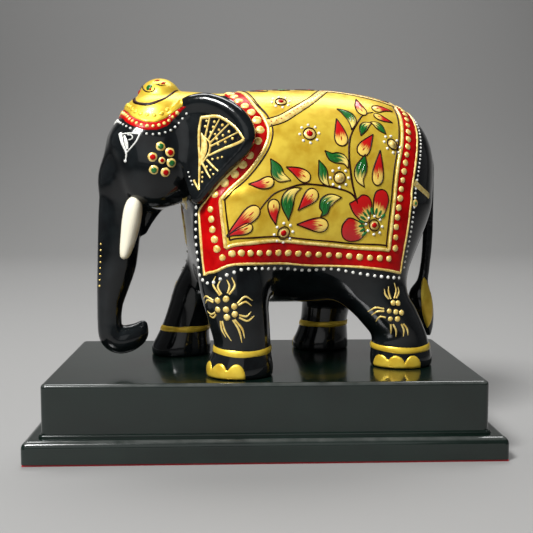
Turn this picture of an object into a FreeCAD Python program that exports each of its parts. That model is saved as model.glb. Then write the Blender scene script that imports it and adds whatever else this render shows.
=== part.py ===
import FreeCAD, Part
import math
import os

import Sketcher
from FreeCAD import Placement, Rotation, Vector

# A carved and lacquered wooden elephant on a two-tier base.
# Frame: +Z up, the elephant faces -X, origin at the middle of the base's underside. Millimetres.

doc = FreeCAD.newDocument("carved_elephant")

# ---------------------------------------------------------------- driving dimensions

DIMENSIONS = [
    ("board_length", 204.0, "lower base board"),
    ("board_depth", 122.0, ""),
    ("board_thick", 9.5, ""),
    ("board_corner", 2.0, "plan radius of the board's corners"),
    ("board_round", 3.0, "rounding along the board's top edge"),
    ("felt_thick", 0.8, "red baize under the board"),
    ("felt_inset", 0.5, ""),
    ("plinth_length", 190.0, "upper plinth block"),
    ("plinth_depth", 108.0, ""),
    ("plinth_thick", 22.5, ""),
    ("plinth_corner", 2.5, "plan radius of the plinth's corners"),
    ("plinth_round", 1.6, "rounding along the plinth's top edge"),
    ("bead_out", 1.0, "bead around the plinth's foot"),
    ("bead_high", 1.2, ""),
    ("screw_dia", 3.5, "wood screws"),
    ("screw_head", 7.0, ""),
    ("screw_tip", 5.0, "length of the tapered point"),
    ("clearance_dia", 3.9, "hole that the screw passes through freely"),
    ("foot_screw_long", 32.0, "plinth into foot"),
    ("foot_screw_sink", 1.0, "head below the plinth's underside"),
    ("plinth_screw_long", 24.0, "board into plinth"),
    ("plinth_screw_sink", 0.3, "head below the board's underside"),
    ("plinth_screw_side", 76.0, "from the middle, along the base"),
    ("plinth_screw_deep", 40.0, "from the middle, across the base"),
    ("elephant_side", 11.0, "middle of the four feet on the base"),
    ("elephant_deep", -1.0, ""),
    ("elephant_turn", 13.0, "degrees that the elephant stands turned on the base"),
    ("fore_left_along", -29.0, "foot centres in the elephant's own frame"),
    ("fore_left_across", -29.5, ""),
    ("fore_right_along", -44.5, ""),
    ("fore_right_across", 29.5, ""),
    ("hind_left_along", 48.0, ""),
    ("hind_left_across", -26.0, ""),
    ("hind_right_along", 26.5, ""),
    ("hind_right_across", 26.0, ""),
    ("tusk_root_dia", 8.6, "tusks"),
    ("tusk_middle_dia", 7.2, ""),
    ("tusk_tip_dia", 3.6, ""),
    ("tusk_long", 26.0, ""),
    ("tusk_bend", 1.6, "how far the tip curves forward"),
    ("tusk_lean", 6.5, "degrees forward of straight down"),
    ("tusk_root_along", -73.6, "centre of the tusk's root in the elephant's own frame"),
    ("tusk_root_across", 13.4, ""),
    ("tusk_root_high", 76.5, ""),
    ("cheek_root_dia", 13.0, "fold of the cheek that each tusk comes out of"),
    ("cheek_top_dia", 20.0, ""),
    ("cheek_high", 20.0, ""),
    ("peg_dia", 4.0, "glued peg on the tusk"),
    ("peg_long", 9.0, ""),
]

dims = doc.addObject("Spreadsheet::Sheet", "dims")
for row, (alias, value, note) in enumerate(DIMENSIONS, start=1):
    dims.set(f"A{row}", note or alias.replace("_", " "))
    dims.set(f"B{row}", str(value))
    dims.setAlias(f"B{row}", alias)
doc.recompute()
size = {alias: value for alias, value, _ in DIMENSIONS}

board_bottom = size["felt_thick"]
plinth_bottom = board_bottom + size["board_thick"]
plinth_top = plinth_bottom + size["plinth_thick"]
TURN = Rotation(Vector(0, 0, 1), size["elephant_turn"])
ELEPHANT = Placement(Vector(size["elephant_side"], size["elephant_deep"], plinth_top), TURN)
FEET = ("fore_left", "fore_right", "hind_left", "hind_right")
CORNERS = {"front_left": (-1, -1), "front_right": (1, -1), "back_left": (-1, 1), "back_right": (1, 1)}
parts = []


# ---------------------------------------------------------------- helpers for bodies and sketches


def new_body(label):
    """An empty body that becomes the node called label."""
    body = doc.addObject("PartDesign::Body", label)
    body.Label = label
    parts.append(body)
    return body


def new_sketch(body, name, role="XY_Plane", height=None):
    """A sketch on one of the body's own origin planes, raised to the height expression."""
    sketch = body.newObject("Sketcher::SketchObject", name)
    origin_plane = next(f for f in body.Origin.OriginFeatures if f.Role == role)
    sketch.AttachmentSupport = [(origin_plane, "")]
    sketch.MapMode = "FlatFace"
    if height is not None:
        sketch.setExpression("AttachmentOffset.Base.z", height)
    return sketch


def add_rectangle(sketch, length, depth):
    """A rectangle centred on the sketch's origin with sides driven by expressions."""
    corners = [Vector(-10, -5), Vector(10, -5), Vector(10, 5), Vector(-10, 5)]
    for i in range(4):
        sketch.addGeometry(Part.LineSegment(corners[i], corners[(i + 1) % 4]), False)
    for i in range(4):
        sketch.addConstraint(Sketcher.Constraint("Coincident", i, 2, (i + 1) % 4, 1))
    for i in (0, 2):
        sketch.addConstraint(Sketcher.Constraint("Horizontal", i))
        sketch.addConstraint(Sketcher.Constraint("Vertical", i + 1))
    sketch.addConstraint(Sketcher.Constraint("Symmetric", 0, 1, 2, 1, -1, 1))
    for edge, kind, driver in ((0, "DistanceX", length), (1, "DistanceY", depth)):
        index = sketch.addConstraint(Sketcher.Constraint(kind, edge, 1, edge, 2, 10.0))
        sketch.setExpression(f"Constraints[{index}]", driver)


def add_circle(sketch, diameter, along="0", across="0"):
    """A circle whose centre and diameter are driven by expressions."""
    circle = sketch.addGeometry(Part.Circle(Vector(0, 0, 0), Vector(0, 0, 1), 1.0), False)
    drivers = (("Diameter", diameter), ("DistanceX", along), ("DistanceY", across))
    for kind, driver in drivers:
        if kind == "Diameter":
            constraint = Sketcher.Constraint(kind, circle, 2.0)
        else:
            constraint = Sketcher.Constraint(kind, -1, 1, circle, 3, 1.0)
        index = sketch.addConstraint(constraint)
        sketch.setExpression(f"Constraints[{index}]", driver)


def add_pad(body, sketch, name, length):
    pad = body.newObject("PartDesign::Pad", name)
    pad.Profile = sketch
    pad.setExpression("Length", length)
    sketch.Visibility = False
    return pad


def add_fillet(body, base, name, radius, wanted):
    """Rounds every edge of base for which wanted(edge) is true."""
    doc.recompute()
    edges = [f"Edge{i + 1}" for i, e in enumerate(base.Shape.Edges) if wanted(e)]
    fillet = body.newObject("PartDesign::Fillet", name)
    fillet.Base = (base, edges)
    fillet.setExpression("Radius", radius)
    return fillet


def upright(shortest):
    return lambda edge: edge.BoundBox.ZLength > 0.9 * edge.Length and edge.Length > shortest


def level_at(height):
    return lambda edge: edge.BoundBox.ZLength < 1e-6 and abs(edge.BoundBox.ZMin - height) < 1e-3


def beyond_block(edge):
    """True on the bead's outer edges, which lie outside the plinth block."""
    middle, out = edge.BoundBox.Center, 0.5 * size["bead_out"]
    return (
        abs(middle.x) > size["plinth_length"] / 2 + out
        or abs(middle.y) > size["plinth_depth"] / 2 + out
    )


def drill(body, sketch, name, depth=None, sink=None):
    """Holes drilled upward from the sketch's circles.

    With a sink they go right through and are countersunk that far below a screw's head.
    With a depth they are blind pilot holes.
    """
    doc.recompute()
    before = body.Shape.Volume
    hole = body.newObject("PartDesign::Hole", name)
    hole.Profile = sketch
    doc.recompute()
    hole.Threaded = False
    hole.Reversed = True
    if sink:
        hole.setExpression("Diameter", "dims.clearance_dia")
        hole.HoleCutType = "Countersink"
        hole.HoleCutCustomValues = True
        hole.setExpression("HoleCutDiameter", f"dims.screw_head + 2 * {sink}")
        hole.HoleCutCountersinkAngle = 90
        hole.DepthType = "ThroughAll"
    else:
        hole.setExpression("Diameter", "dims.screw_dia")
        hole.DepthType = "Dimension"
        hole.DrillPoint = "Flat"
        hole.setExpression("Depth", depth)
    doc.recompute()
    if not body.Shape.Volume < before - 1:
        raise RuntimeError(f"{name} cut nothing out of {body.Label}")
    return hole


def world_of(foot):
    """Expressions for where a foot's centre stands on the base."""
    along, across = f"dims.{foot}_along", f"dims.{foot}_across"
    c, s = "cos(dims.elephant_turn * 1 deg)", "sin(dims.elephant_turn * 1 deg)"
    side = f"dims.elephant_side + {along} * {c} - {across} * {s}"
    deep = f"dims.elephant_deep + {along} * {s} + {across} * {c}"
    return side, deep


def world_point(foot):
    """The same place as numbers, for placing the screws."""
    local = Vector(size[f"{foot}_along"], size[f"{foot}_across"], 0)
    return ELEPHANT.multVec(local)


# ---------------------------------------------------------------- base board, felt and plinth


def make_felt():
    """The red baize glued under the board."""
    body = new_body("felt_pad")
    outline = new_sketch(body, "felt_outline")
    add_rectangle(
        outline,
        "dims.board_length - 2 * dims.felt_inset",
        "dims.board_depth - 2 * dims.felt_inset",
    )
    add_pad(body, outline, "felt_sheet", "dims.felt_thick")


def make_board():
    """The lower board, round-nosed on top, with four countersunk screw holes from below."""
    body = new_body("base_board")
    outline = new_sketch(body, "board_outline", height="dims.felt_thick")
    add_rectangle(outline, "dims.board_length", "dims.board_depth")
    slab = add_pad(body, outline, "board_slab", "dims.board_thick")
    corners = add_fillet(body, slab, "board_corners", "dims.board_corner", upright(1.0))
    nose = add_fillet(body, corners, "board_nose", "dims.board_round", level_at(plinth_bottom))
    doc.recompute()
    body.Tip = nose
    holes = new_sketch(body, "board_hole_centres", height="dims.felt_thick")
    for side, deep in CORNERS.values():
        add_circle(
            holes,
            "dims.clearance_dia",
            f"{side} * dims.plinth_screw_side",
            f"{deep} * dims.plinth_screw_deep",
        )
    drill(body, holes, "board_holes", sink="dims.plinth_screw_sink")


def make_plinth():
    """The upper block with a bead round its foot, four through holes and four pilot holes."""
    body = new_body("plinth_block")
    bottom = "dims.felt_thick + dims.board_thick"
    outline = new_sketch(body, "plinth_outline", height=bottom)
    add_rectangle(outline, "dims.plinth_length", "dims.plinth_depth")
    block = add_pad(body, outline, "plinth_body", "dims.plinth_thick")
    corners = add_fillet(body, block, "plinth_corners", "dims.plinth_corner", upright(10.0))
    edge = add_fillet(body, corners, "plinth_edge", "dims.plinth_round", level_at(plinth_top))
    doc.recompute()
    body.Tip = edge
    bead_outline = new_sketch(body, "bead_outline", height=bottom)
    add_rectangle(
        bead_outline,
        "dims.plinth_length + 2 * dims.bead_out",
        "dims.plinth_depth + 2 * dims.bead_out",
    )
    bead = add_pad(body, bead_outline, "bead", "dims.bead_high")
    bead_corners = add_fillet(
        body, bead, "bead_corners", "dims.plinth_corner", lambda e: upright(0.5)(e) and beyond_block(e)
    )
    bead_top = level_at(plinth_bottom + size["bead_high"])
    rounded = add_fillet(
        body, bead_corners, "bead_round", "0.7 * dims.bead_out", lambda e: bead_top(e) and beyond_block(e)
    )
    doc.recompute()
    body.Tip = rounded
    through = new_sketch(body, "foot_hole_centres", height=bottom)
    for foot in FEET:
        add_circle(through, "dims.clearance_dia", *world_of(foot))
    drill(body, through, "foot_holes", sink="dims.foot_screw_sink")
    pilots = new_sketch(body, "pilot_centres", height=bottom)
    for side, deep in CORNERS.values():
        add_circle(
            pilots,
            "dims.screw_dia",
            f"{side} * dims.plinth_screw_side",
            f"{deep} * dims.plinth_screw_deep",
        )
    pilot_depth = "dims.plinth_screw_long + dims.plinth_screw_sink - dims.board_thick + 1"
    drill(body, pilots, "pilots", depth=pilot_depth)


# ---------------------------------------------------------------- screws


def make_screw(label, long_name, place):
    """A countersunk wood screw, point up, with a crossed driver recess in its head."""
    body = new_body(label)
    profile = new_sketch(body, label + "_profile", role="XZ_Plane")
    head, dia, tip = size["screw_head"] / 2, size["screw_dia"] / 2, size["screw_tip"]
    long = size[long_name]
    neck = head - dia
    outline = [(0, 0), (head, 0), (dia, neck), (dia, long - tip), (0, long)]
    for i, point in enumerate(outline):
        end = outline[(i + 1) % len(outline)]
        profile.addGeometry(Part.LineSegment(Vector(*point, 0), Vector(*end, 0)), False)
    count = len(outline)
    for i in range(count):
        profile.addConstraint(Sketcher.Constraint("Coincident", i, 2, (i + 1) % count, 1))
    profile.addConstraint(Sketcher.Constraint("Coincident", 0, 1, -1, 1))
    profile.addConstraint(Sketcher.Constraint("Horizontal", 0))
    profile.addConstraint(Sketcher.Constraint("Vertical", 2))
    profile.addConstraint(Sketcher.Constraint("Vertical", count - 1))
    drivers = (
        ("DistanceX", 0, 2, "dims.screw_head / 2"),
        ("DistanceX", 1, 2, "dims.screw_dia / 2"),
        ("DistanceY", 1, 2, "(dims.screw_head - dims.screw_dia) / 2"),
        ("DistanceY", 2, 2, f"dims.{long_name} - dims.screw_tip"),
        ("DistanceY", 3, 2, f"dims.{long_name}"),
    )
    for kind, line, end, driver in drivers:
        index = profile.addConstraint(Sketcher.Constraint(kind, -1, 1, line, end, 1.0))
        profile.setExpression(f"Constraints[{index}]", driver)
    turned = body.newObject("PartDesign::Revolution", label + "_turned")
    turned.Profile = profile
    turned.ReferenceAxis = (profile, ["V_Axis"])
    turned.Angle = 360
    doc.recompute()
    recess = new_sketch(body, label + "_recess")
    arm, half = "0.62 * dims.screw_head", "0.13 * dims.screw_head"
    add_rectangle(recess, arm, half)
    slot = body.newObject("PartDesign::Pocket", label + "_slot")
    slot.Profile = recess
    slot.setExpression("Length", "0.2 * dims.screw_head")
    slot.Reversed = True
    doc.recompute()
    cross = body.newObject("PartDesign::PolarPattern", label + "_cross")
    cross.Originals = [slot]
    cross.Axis = (recess, ["N_Axis"])
    cross.Angle = 180
    cross.Occurrences = 2
    body.Tip = cross
    body.Placement = Placement(place, Rotation())


def make_screws():
    for foot in FEET:
        place = world_point(foot)
        place.z = plinth_bottom + size["foot_screw_sink"]
        make_screw("foot_screw_" + foot, "foot_screw_long", place)
    for corner, (side, deep) in CORNERS.items():
        place = Vector(
            side * size["plinth_screw_side"],
            deep * size["plinth_screw_deep"],
            board_bottom + size["plinth_screw_sink"],
        )
        make_screw("plinth_screw_" + corner, "plinth_screw_long", place)


# ---------------------------------------------------------------- tusks


def tusk_placement(across_sign):
    """Root of a tusk in the world. The body's own +Z runs down the tusk towards its tip."""
    root = Vector(
        size["tusk_root_along"], across_sign * size["tusk_root_across"], size["tusk_root_high"]
    )
    lean = Rotation(Vector(0, 1, 0), 180 + size["tusk_lean"])
    return ELEPHANT.multiply(Placement(root, lean))


def make_tusk(label, across_sign):
    """A blunt tapering tusk that curves forward, with a peg on its root."""
    body = new_body(label)
    stations = (
        ("0", "dims.tusk_root_dia * 0.86", "0"),
        ("0.12 * dims.tusk_long", "dims.tusk_root_dia", "0.02 * dims.tusk_bend"),
        ("0.5 * dims.tusk_long", "dims.tusk_middle_dia", "0.25 * dims.tusk_bend"),
        ("0.8 * dims.tusk_long", "0.6 * dims.tusk_middle_dia + 0.4 * dims.tusk_tip_dia",
         "0.64 * dims.tusk_bend"),
        ("0.95 * dims.tusk_long", "dims.tusk_tip_dia", "0.9 * dims.tusk_bend"),
        ("dims.tusk_long", "0.4 * dims.tusk_tip_dia", "dims.tusk_bend"),
    )
    rings = []
    for i, (height, diameter, bend) in enumerate(stations):
        ring = new_sketch(body, f"{label}_ring_{i}", height=height)
        add_circle(ring, diameter, bend)
        rings.append(ring)
    horn = body.newObject("PartDesign::AdditiveLoft", label + "_horn")
    horn.Profile = rings[0]
    horn.Sections = rings[1:]
    doc.recompute()
    body.Tip = horn
    peg_ring = new_sketch(body, label + "_peg_ring")
    add_circle(peg_ring, "dims.peg_dia")
    peg = add_pad(body, peg_ring, label + "_peg", "dims.peg_long")
    peg.Reversed = True
    body.Tip = peg
    body.Placement = tusk_placement(across_sign)


# ---------------------------------------------------------------- the carving


def ring(centre, across, upward, half_across, half_up, power=2.0, count=16):
    """A closed superellipse round centre, in the plane of the two directions."""
    points = []
    for i in range(count):
        angle = 2 * math.pi * i / count
        c, s = math.cos(angle), math.sin(angle)
        a = math.copysign(abs(c) ** (2 / power), c) * half_across
        b = math.copysign(abs(s) ** (2 / power), s) * half_up
        points.append(centre + across * a + upward * b)
    curve = Part.BSplineCurve()
    curve.interpolate(Points=points, PeriodicFlag=True)
    return Part.Wire(curve.toShape())


def torso():
    """Barrel of the body: x, middle height, half height, half width."""
    stations = (
        (-53, 92, 17, 15),
        (-46, 86, 34, 30),
        (-34, 80, 45, 37),
        (-15, 77.5, 49.5, 40),
        (10, 78, 50, 40.5),
        (32, 77.5, 49.5, 40),
        (50, 80, 42.5, 36.5),
        (61, 83, 33, 29),
        (67, 85.5, 23, 20),
        (71.5, 88, 11, 10),
    )
    wires = [
        ring(Vector(x, 0, z), Vector(0, 1, 0), Vector(0, 0, 1), half_wide, half_high, 2.4)
        for x, z, half_high, half_wide in stations
    ]
    return Part.makeLoft(wires, True, False)


def stacked_ovals(stations):
    """An upright form as level ovals: z, centre x, centre y, half length, half width."""
    wires = [
        ring(Vector(x, y, z), Vector(1, 0, 0), Vector(0, 1, 0), half_long, half_wide)
        for z, x, y, half_long, half_wide in stations
    ]
    return Part.makeLoft(wires, True, False)


def legs():
    """Four legs in a walking stance; each foot stands on its own foot centre."""
    fl = (size["fore_left_along"], size["fore_left_across"])
    fr = (size["fore_right_along"], size["fore_right_across"])
    hl = (size["hind_left_along"], size["hind_left_across"])
    hr = (size["hind_right_along"], size["hind_right_across"])
    fore_left = (
        (0, *fl, 14, 13), (5, *fl, 14, 13), (14, *fl, 13, 12), (30, fl[0] - 2, fl[1], 14.5, 12.5),
        (50, -32, -26, 16, 12), (72, -32, -20, 14, 12),
    )
    fore_right = (
        (0, *fr, 14.5, 13), (5, *fr, 14, 13), (13, fr[0] + 1, fr[1], 12.5, 12), (27, -39.8, 29, 12.5, 12.5),
        (42, -32.5, 27, 13, 12.3), (56, -28, 24, 15, 12), (72, -28, 20, 14, 12),
    )
    hind_left = (
        (0, *hl, 14, 13), (5, *hl, 14, 13), (13, hl[0] - 0.5, hl[1], 13, 12), (24, 41, -26, 14.5, 13),
        (36, 34, -25, 16.5, 13.5), (50, 33, -22, 18.5, 14), (70, 39, -18, 19, 12),
    )
    hind_right = (
        (0, *hr, 14, 13), (5, *hr, 13.8, 13), (13, hr[0] + 1, hr[1], 12.5, 12), (25, 29.5, 26, 13.5, 12.5),
        (36, 33, 25, 18, 13.5), (50, 37, 22, 22, 14), (70, 40, 18, 20, 12),
    )
    return [stacked_ovals(stations) for stations in (fore_left, fore_right, hind_left, hind_right)]


def tapering_tube(stations):
    """A round-sectioned limb in the elephant's middle plane: x, z, half thick, half wide."""
    centres = [Vector(x, 0, z) for x, z, _, _ in stations]
    wires = []
    for i, (centre, (_, _, half_thick, half_wide)) in enumerate(zip(centres, stations)):
        before, after = centres[max(i - 1, 0)], centres[min(i + 1, len(centres) - 1)]
        along = (after - before).normalize()
        across = Vector(0, 1, 0)
        wires.append(ring(centre, across, along.cross(across), half_wide, half_thick))
    return Part.makeLoft(wires, True, False)


def trunk():
    """Hangs straight from the face, with its end curled back and up."""
    hanging = tapering_tube((
        (-70, 92, 15, 12), (-76, 76, 11.5, 8.6), (-78.3, 60, 9.2, 8.2), (-79.8, 46, 8.4, 8),
        (-82, 32, 6.9, 7.2), (-83, 20, 6, 6.4), (-82, 11, 5.2, 5.6), (-81, 7.4, 2.5, 3),
    ))
    curl = tapering_tube((
        (-83, 13, 4.4, 4.8), (-77.5, 12.2, 5.2, 5.6), (-72.5, 14.2, 4.6, 5), (-69.5, 18.8, 2.2, 3),
    ))
    return [hanging, curl]


def tail():
    """Falls clear of the rump and ends in a tuft that joins the back of the body again."""
    return tapering_tube((
        (56, 106, 5, 6), (65, 102.5, 5, 6), (71, 94, 4.4, 5), (73.4, 82, 3.1, 3.6),
        (73.6, 68, 2.6, 3), (73.2, 54, 2.5, 2.9), (71.6, 40, 2.7, 3), (69.8, 32, 4.6, 4),
        (70.2, 24, 6.6, 4.8), (72.6, 16, 4.6, 4), (74.8, 9, 1.2, 1.4),
    ))


def head():
    """Skull, the domed cap on top of it, and a pointed lower lip behind the trunk."""
    skull_stations = (
        (-84, 97, 7, 9),
        (-82, 97, 12, 14),
        (-76, 97.5, 17.5, 20),
        (-68, 98.5, 23, 24),
        (-58, 99, 26, 25.5),
        (-46, 98, 27, 25.5),
        (-36, 97, 24, 23),
    )
    skull = Part.makeLoft(
        [
            ring(Vector(x, 0, z), Vector(0, 1, 0), Vector(0, 0, 1), half_wide, half_high, 2.2)
            for x, z, half_high, half_wide in skull_stations
        ],
        True,
        False,
    )
    lip = tapering_tube(((-56, 82, 12, 12), (-60, 73, 9, 9), (-64.5, 66.5, 5.2, 5.5), (-67, 62, 2, 2.4)))
    cap = stacked_ovals((
        (108, -61, 0, 14, 16), (116, -61, 0, 12.5, 14.5), (122, -60, 0, 10.5, 12.5),
        (126.5, -59.5, 0, 8, 9.5), (129.6, -59.2, 0, 5, 6), (131, -59, 0, 2, 2.4),
    ))
    return [skull, cap, lip]


def cheek(across_sign):
    """The fold round a tusk's root, flat where the tusk seats against it."""
    seat = ELEPHANT.inverse().multiply(tusk_placement(across_sign))
    up = seat.Rotation.multVec(Vector(0, 0, -1))
    return Part.makeCone(
        size["cheek_root_dia"] / 2, size["cheek_top_dia"] / 2, size["cheek_high"], seat.Base, up
    )


def ear(side):
    """A flat ear that leans out from the back of the head over the shoulder."""
    outline = [(-51, 116), (-42, 120.5), (-33, 117.5), (-26, 110), (-24, 102), (-29, 95),
               (-38, 87), (-45, 78), (-49, 80), (-51, 96)]
    points = [Vector(x, 0, z) for x, z in outline]
    curve = Part.BSplineCurve()
    curve.interpolate(Points=points, PeriodicFlag=True)
    face = Part.Face(Part.Wire(curve.toShape()))
    prism = face.extrude(Vector(0, 60, 0))
    lean, thick = 34.0, 6.0
    slab = Part.makeBox(80, thick, 80, Vector(-20, 0, -40))
    slab.rotate(Vector(0, 0, 0), Vector(0, 0, 1), lean)
    slab.translate(Vector(-52, 19, 98))
    leaf = prism.common(slab).Solids[0]
    if side < 0:
        leaf = leaf.mirror(Vector(0, 0, 0), Vector(0, 1, 0))
    return leaf


def make_carving():
    """Body, legs, head, ears, trunk and tail cut from one block, then drilled for tusks and screws."""
    blank = doc.addObject("Part::Feature", "carving_blank")
    shape = torso()
    for limb in head() + legs() + trunk() + [tail(), cheek(-1), cheek(1), ear(-1), ear(1)]:
        joined = shape.fuse(limb)
        if not joined.Volume > shape.Volume + 0.1 * limb.Volume:
            raise RuntimeError("a limb did not join the body")
        shape = joined
    blank.Shape = shape.Solids[0]
    tools = []
    for foot in FEET:
        pilot = doc.addObject("Part::Cylinder", foot + "_pilot")
        pilot.setExpression("Radius", "dims.screw_dia / 2")
        pilot.setExpression(
            "Height",
            "2 + dims.foot_screw_long + dims.foot_screw_sink - dims.plinth_thick",
        )
        pilot.setExpression("Placement.Base.z", "-1")
        pilot.setExpression("Placement.Base.x", f"dims.{foot}_along")
        pilot.setExpression("Placement.Base.y", f"dims.{foot}_across")
        tools.append(pilot)
    for name, side in (("left", -1), ("right", 1)):
        socket = doc.addObject("Part::Cylinder", name + "_socket")
        socket.setExpression("Radius", "dims.peg_dia / 2")
        socket.setExpression("Height", "dims.peg_long + 0.5")
        seat = ELEPHANT.inverse().multiply(tusk_placement(side))
        socket.Placement = seat.multiply(Placement(Vector(), Rotation(Vector(1, 0, 0), 180)))
        tools.append(socket)
    carving = blank
    for tool in tools:
        cut = doc.addObject("Part::Cut", "carving_after_" + tool.Name)
        cut.Base = carving
        cut.Tool = tool
        cut.Refine = False
        carving = cut
    carving.Label = "elephant_carving"
    carving.Placement = ELEPHANT
    parts.append(carving)


# ---------------------------------------------------------------- build, check and write


def check_and_write():
    doc.recompute()
    for thing in doc.Objects:
        if {"Invalid", "Error"} & set(thing.State):
            raise RuntimeError(f"{thing.Label} failed: {thing.State}")
    os.makedirs("parts", exist_ok=True)
    for part in parts:
        shape = part.Shape
        if shape.isNull() or not shape.isValid() or len(shape.Solids) < 1:
            raise RuntimeError(f"{part.Label} has no valid solid")
        print(f"{part.Label}: {len(shape.Solids)} solid, {shape.Volume / 1000:.2f} cm3")
        shape.exportStep(f"parts/{part.Label}.step")


make_felt()
make_board()
make_plinth()
make_screws()
make_tusk("tusk_left", -1)
make_tusk("tusk_right", 1)
make_carving()
check_and_write()
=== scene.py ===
import math
import random

import bpy
import numpy as np
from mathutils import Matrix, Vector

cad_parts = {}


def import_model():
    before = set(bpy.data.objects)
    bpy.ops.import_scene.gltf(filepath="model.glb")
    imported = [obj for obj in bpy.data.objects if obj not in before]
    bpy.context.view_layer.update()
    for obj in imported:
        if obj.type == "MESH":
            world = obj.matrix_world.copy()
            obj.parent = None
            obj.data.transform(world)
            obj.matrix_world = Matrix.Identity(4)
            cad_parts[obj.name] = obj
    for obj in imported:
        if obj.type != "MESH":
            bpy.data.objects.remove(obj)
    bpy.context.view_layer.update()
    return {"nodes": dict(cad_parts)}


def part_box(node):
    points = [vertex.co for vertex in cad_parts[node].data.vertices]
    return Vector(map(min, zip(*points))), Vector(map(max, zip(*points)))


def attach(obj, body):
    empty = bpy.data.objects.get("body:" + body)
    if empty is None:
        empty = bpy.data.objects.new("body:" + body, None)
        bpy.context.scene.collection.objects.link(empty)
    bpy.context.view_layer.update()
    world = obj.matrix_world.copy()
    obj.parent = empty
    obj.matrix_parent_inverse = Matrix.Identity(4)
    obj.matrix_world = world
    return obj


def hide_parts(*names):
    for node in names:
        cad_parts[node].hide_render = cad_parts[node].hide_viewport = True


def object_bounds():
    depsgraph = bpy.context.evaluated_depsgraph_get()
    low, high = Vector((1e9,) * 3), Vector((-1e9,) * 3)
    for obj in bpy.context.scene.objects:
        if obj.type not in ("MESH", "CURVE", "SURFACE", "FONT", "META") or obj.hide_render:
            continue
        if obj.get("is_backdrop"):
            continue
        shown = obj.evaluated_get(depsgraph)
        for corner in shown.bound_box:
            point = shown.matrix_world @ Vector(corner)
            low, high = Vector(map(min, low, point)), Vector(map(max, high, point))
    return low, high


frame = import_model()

import openvdb
from mathutils import Euler, Vector
from mathutils.bvhtree import BVHTree

# A carved elephant in gloss black lacquer with a hand-painted gold and red blanket, on a two-tier base.
#
# The carving and its paint are made in the elephant's own frame, in millimetres: -X is the way it faces,
# -Y its left flank, and z = 0 the top of the plinth. world() brings points into the row's frame.

MM = 0.001
SIDES = (-1, 1)  # left, right
random.seed(7)

# ---------- the elephant's own frame

FORE_LEFT_FOOT = np.array([-29.0, -29.5])
HIND_LEFT_FOOT = np.array([48.0, -26.0])


def node_centre(node):
    low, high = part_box(node)
    return np.array((low + high) / 2)[:2]


fore_screw = node_centre("foot_screw_fore_left")
hind_screw = node_centre("foot_screw_hind_left")
stride_here = HIND_LEFT_FOOT - FORE_LEFT_FOOT
stride_there = hind_screw - fore_screw
TURN = math.atan2(stride_there[1], stride_there[0]) - math.atan2(stride_here[1], stride_here[0])
TURNED = np.array([[math.cos(TURN), -math.sin(TURN)], [math.sin(TURN), math.cos(TURN)]])
STAND = fore_screw - TURNED @ (FORE_LEFT_FOOT * MM)
PLINTH_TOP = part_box("plinth_block")[1].z


def world(points):
    """Points of the elephant's frame, in millimetres, as metres in the row's frame."""
    points = np.asarray(points, float)
    flat = (points[:, :2] * MM) @ TURNED.T + STAND
    return np.column_stack([flat, points[:, 2] * MM + PLINTH_TOP])


# ---------- clay: a distance field to model in


def spread(values, count):
    """A smooth curve through the rows of values, as count evenly spread rows."""
    values = np.asarray(values, float)
    knots = np.arange(len(values))
    slopes = np.gradient(values, axis=0)
    at = np.linspace(0, len(values) - 1, count)
    i = np.minimum(at.astype(int), len(values) - 2)
    t = (at - knots[i])[:, None]
    a, b, sa, sb = values[i], values[i + 1], slopes[i], slopes[i + 1]
    return (
        a * (2 * t**3 - 3 * t**2 + 1)
        + sa * (t**3 - 2 * t**2 + t)
        + b * (3 * t**2 - 2 * t**3)
        + sb * (t**3 - t**2)
    )


def read(table, at):
    """Every column of a table but the first, looked up at values of the first."""
    return [np.interp(at, table[:, 0], column) for column in table.T[1:]]


FAR_OUT = 30.0  # the distance that empty clay and empty space start with


class Clay:
    """Signed distances on a grid, negative inside. Lumps are pressed on with a soft join."""

    def __init__(self, low, high, step):
        self.low, self.step = np.array(low, float), step
        self.counts = np.ceil((np.array(high) - self.low) / step).astype(int) + 1
        self.field = np.full(self.counts, FAR_OUT, np.float32)
        self.axes = [self.low[k] + step * np.arange(self.counts[k]) for k in range(3)]

    def window(self, low, high):
        first = np.clip(np.floor((np.array(low) - self.low) / self.step).astype(int), 0, self.counts)
        last = np.clip(np.ceil((np.array(high) - self.low) / self.step).astype(int) + 1, 0, self.counts)
        part = tuple(slice(a, b) for a, b in zip(first, last))
        x, y, z = (axis[s] for axis, s in zip(self.axes, part))
        return part, x[:, None, None], y[None, :, None], z[None, None, :]

    def press(self, lump, soft):
        """Adds a lump, a (low, high, distance) triple, with a join rounded over soft millimetres."""
        low, high, distance = lump
        margin = soft + 3 * self.step
        part, x, y, z = self.window(np.array(low) - margin, np.array(high) + margin)
        new = distance(x, y, z)
        old = self.field[part]
        mix = np.clip(0.5 + 0.5 * (old - new) / soft, 0, 1)
        self.field[part] = old * (1 - mix) + new * mix - soft * mix * (1 - mix)

    def skin(self):
        """The surface as points and triangles."""
        grid = openvdb.FloatGrid(FAR_OUT)
        grid.copyFromArray(self.field)
        points, triangles, quads = grid.convertToPolygons(0.0, 0.0)
        halves = np.concatenate([quads[:, [0, 1, 2]], quads[:, [0, 2, 3]]])
        faces = np.concatenate([np.asarray(triangles).reshape(-1, 3), halves]).astype(np.int64)
        return self.low + np.asarray(points, float) * self.step, faces


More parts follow.
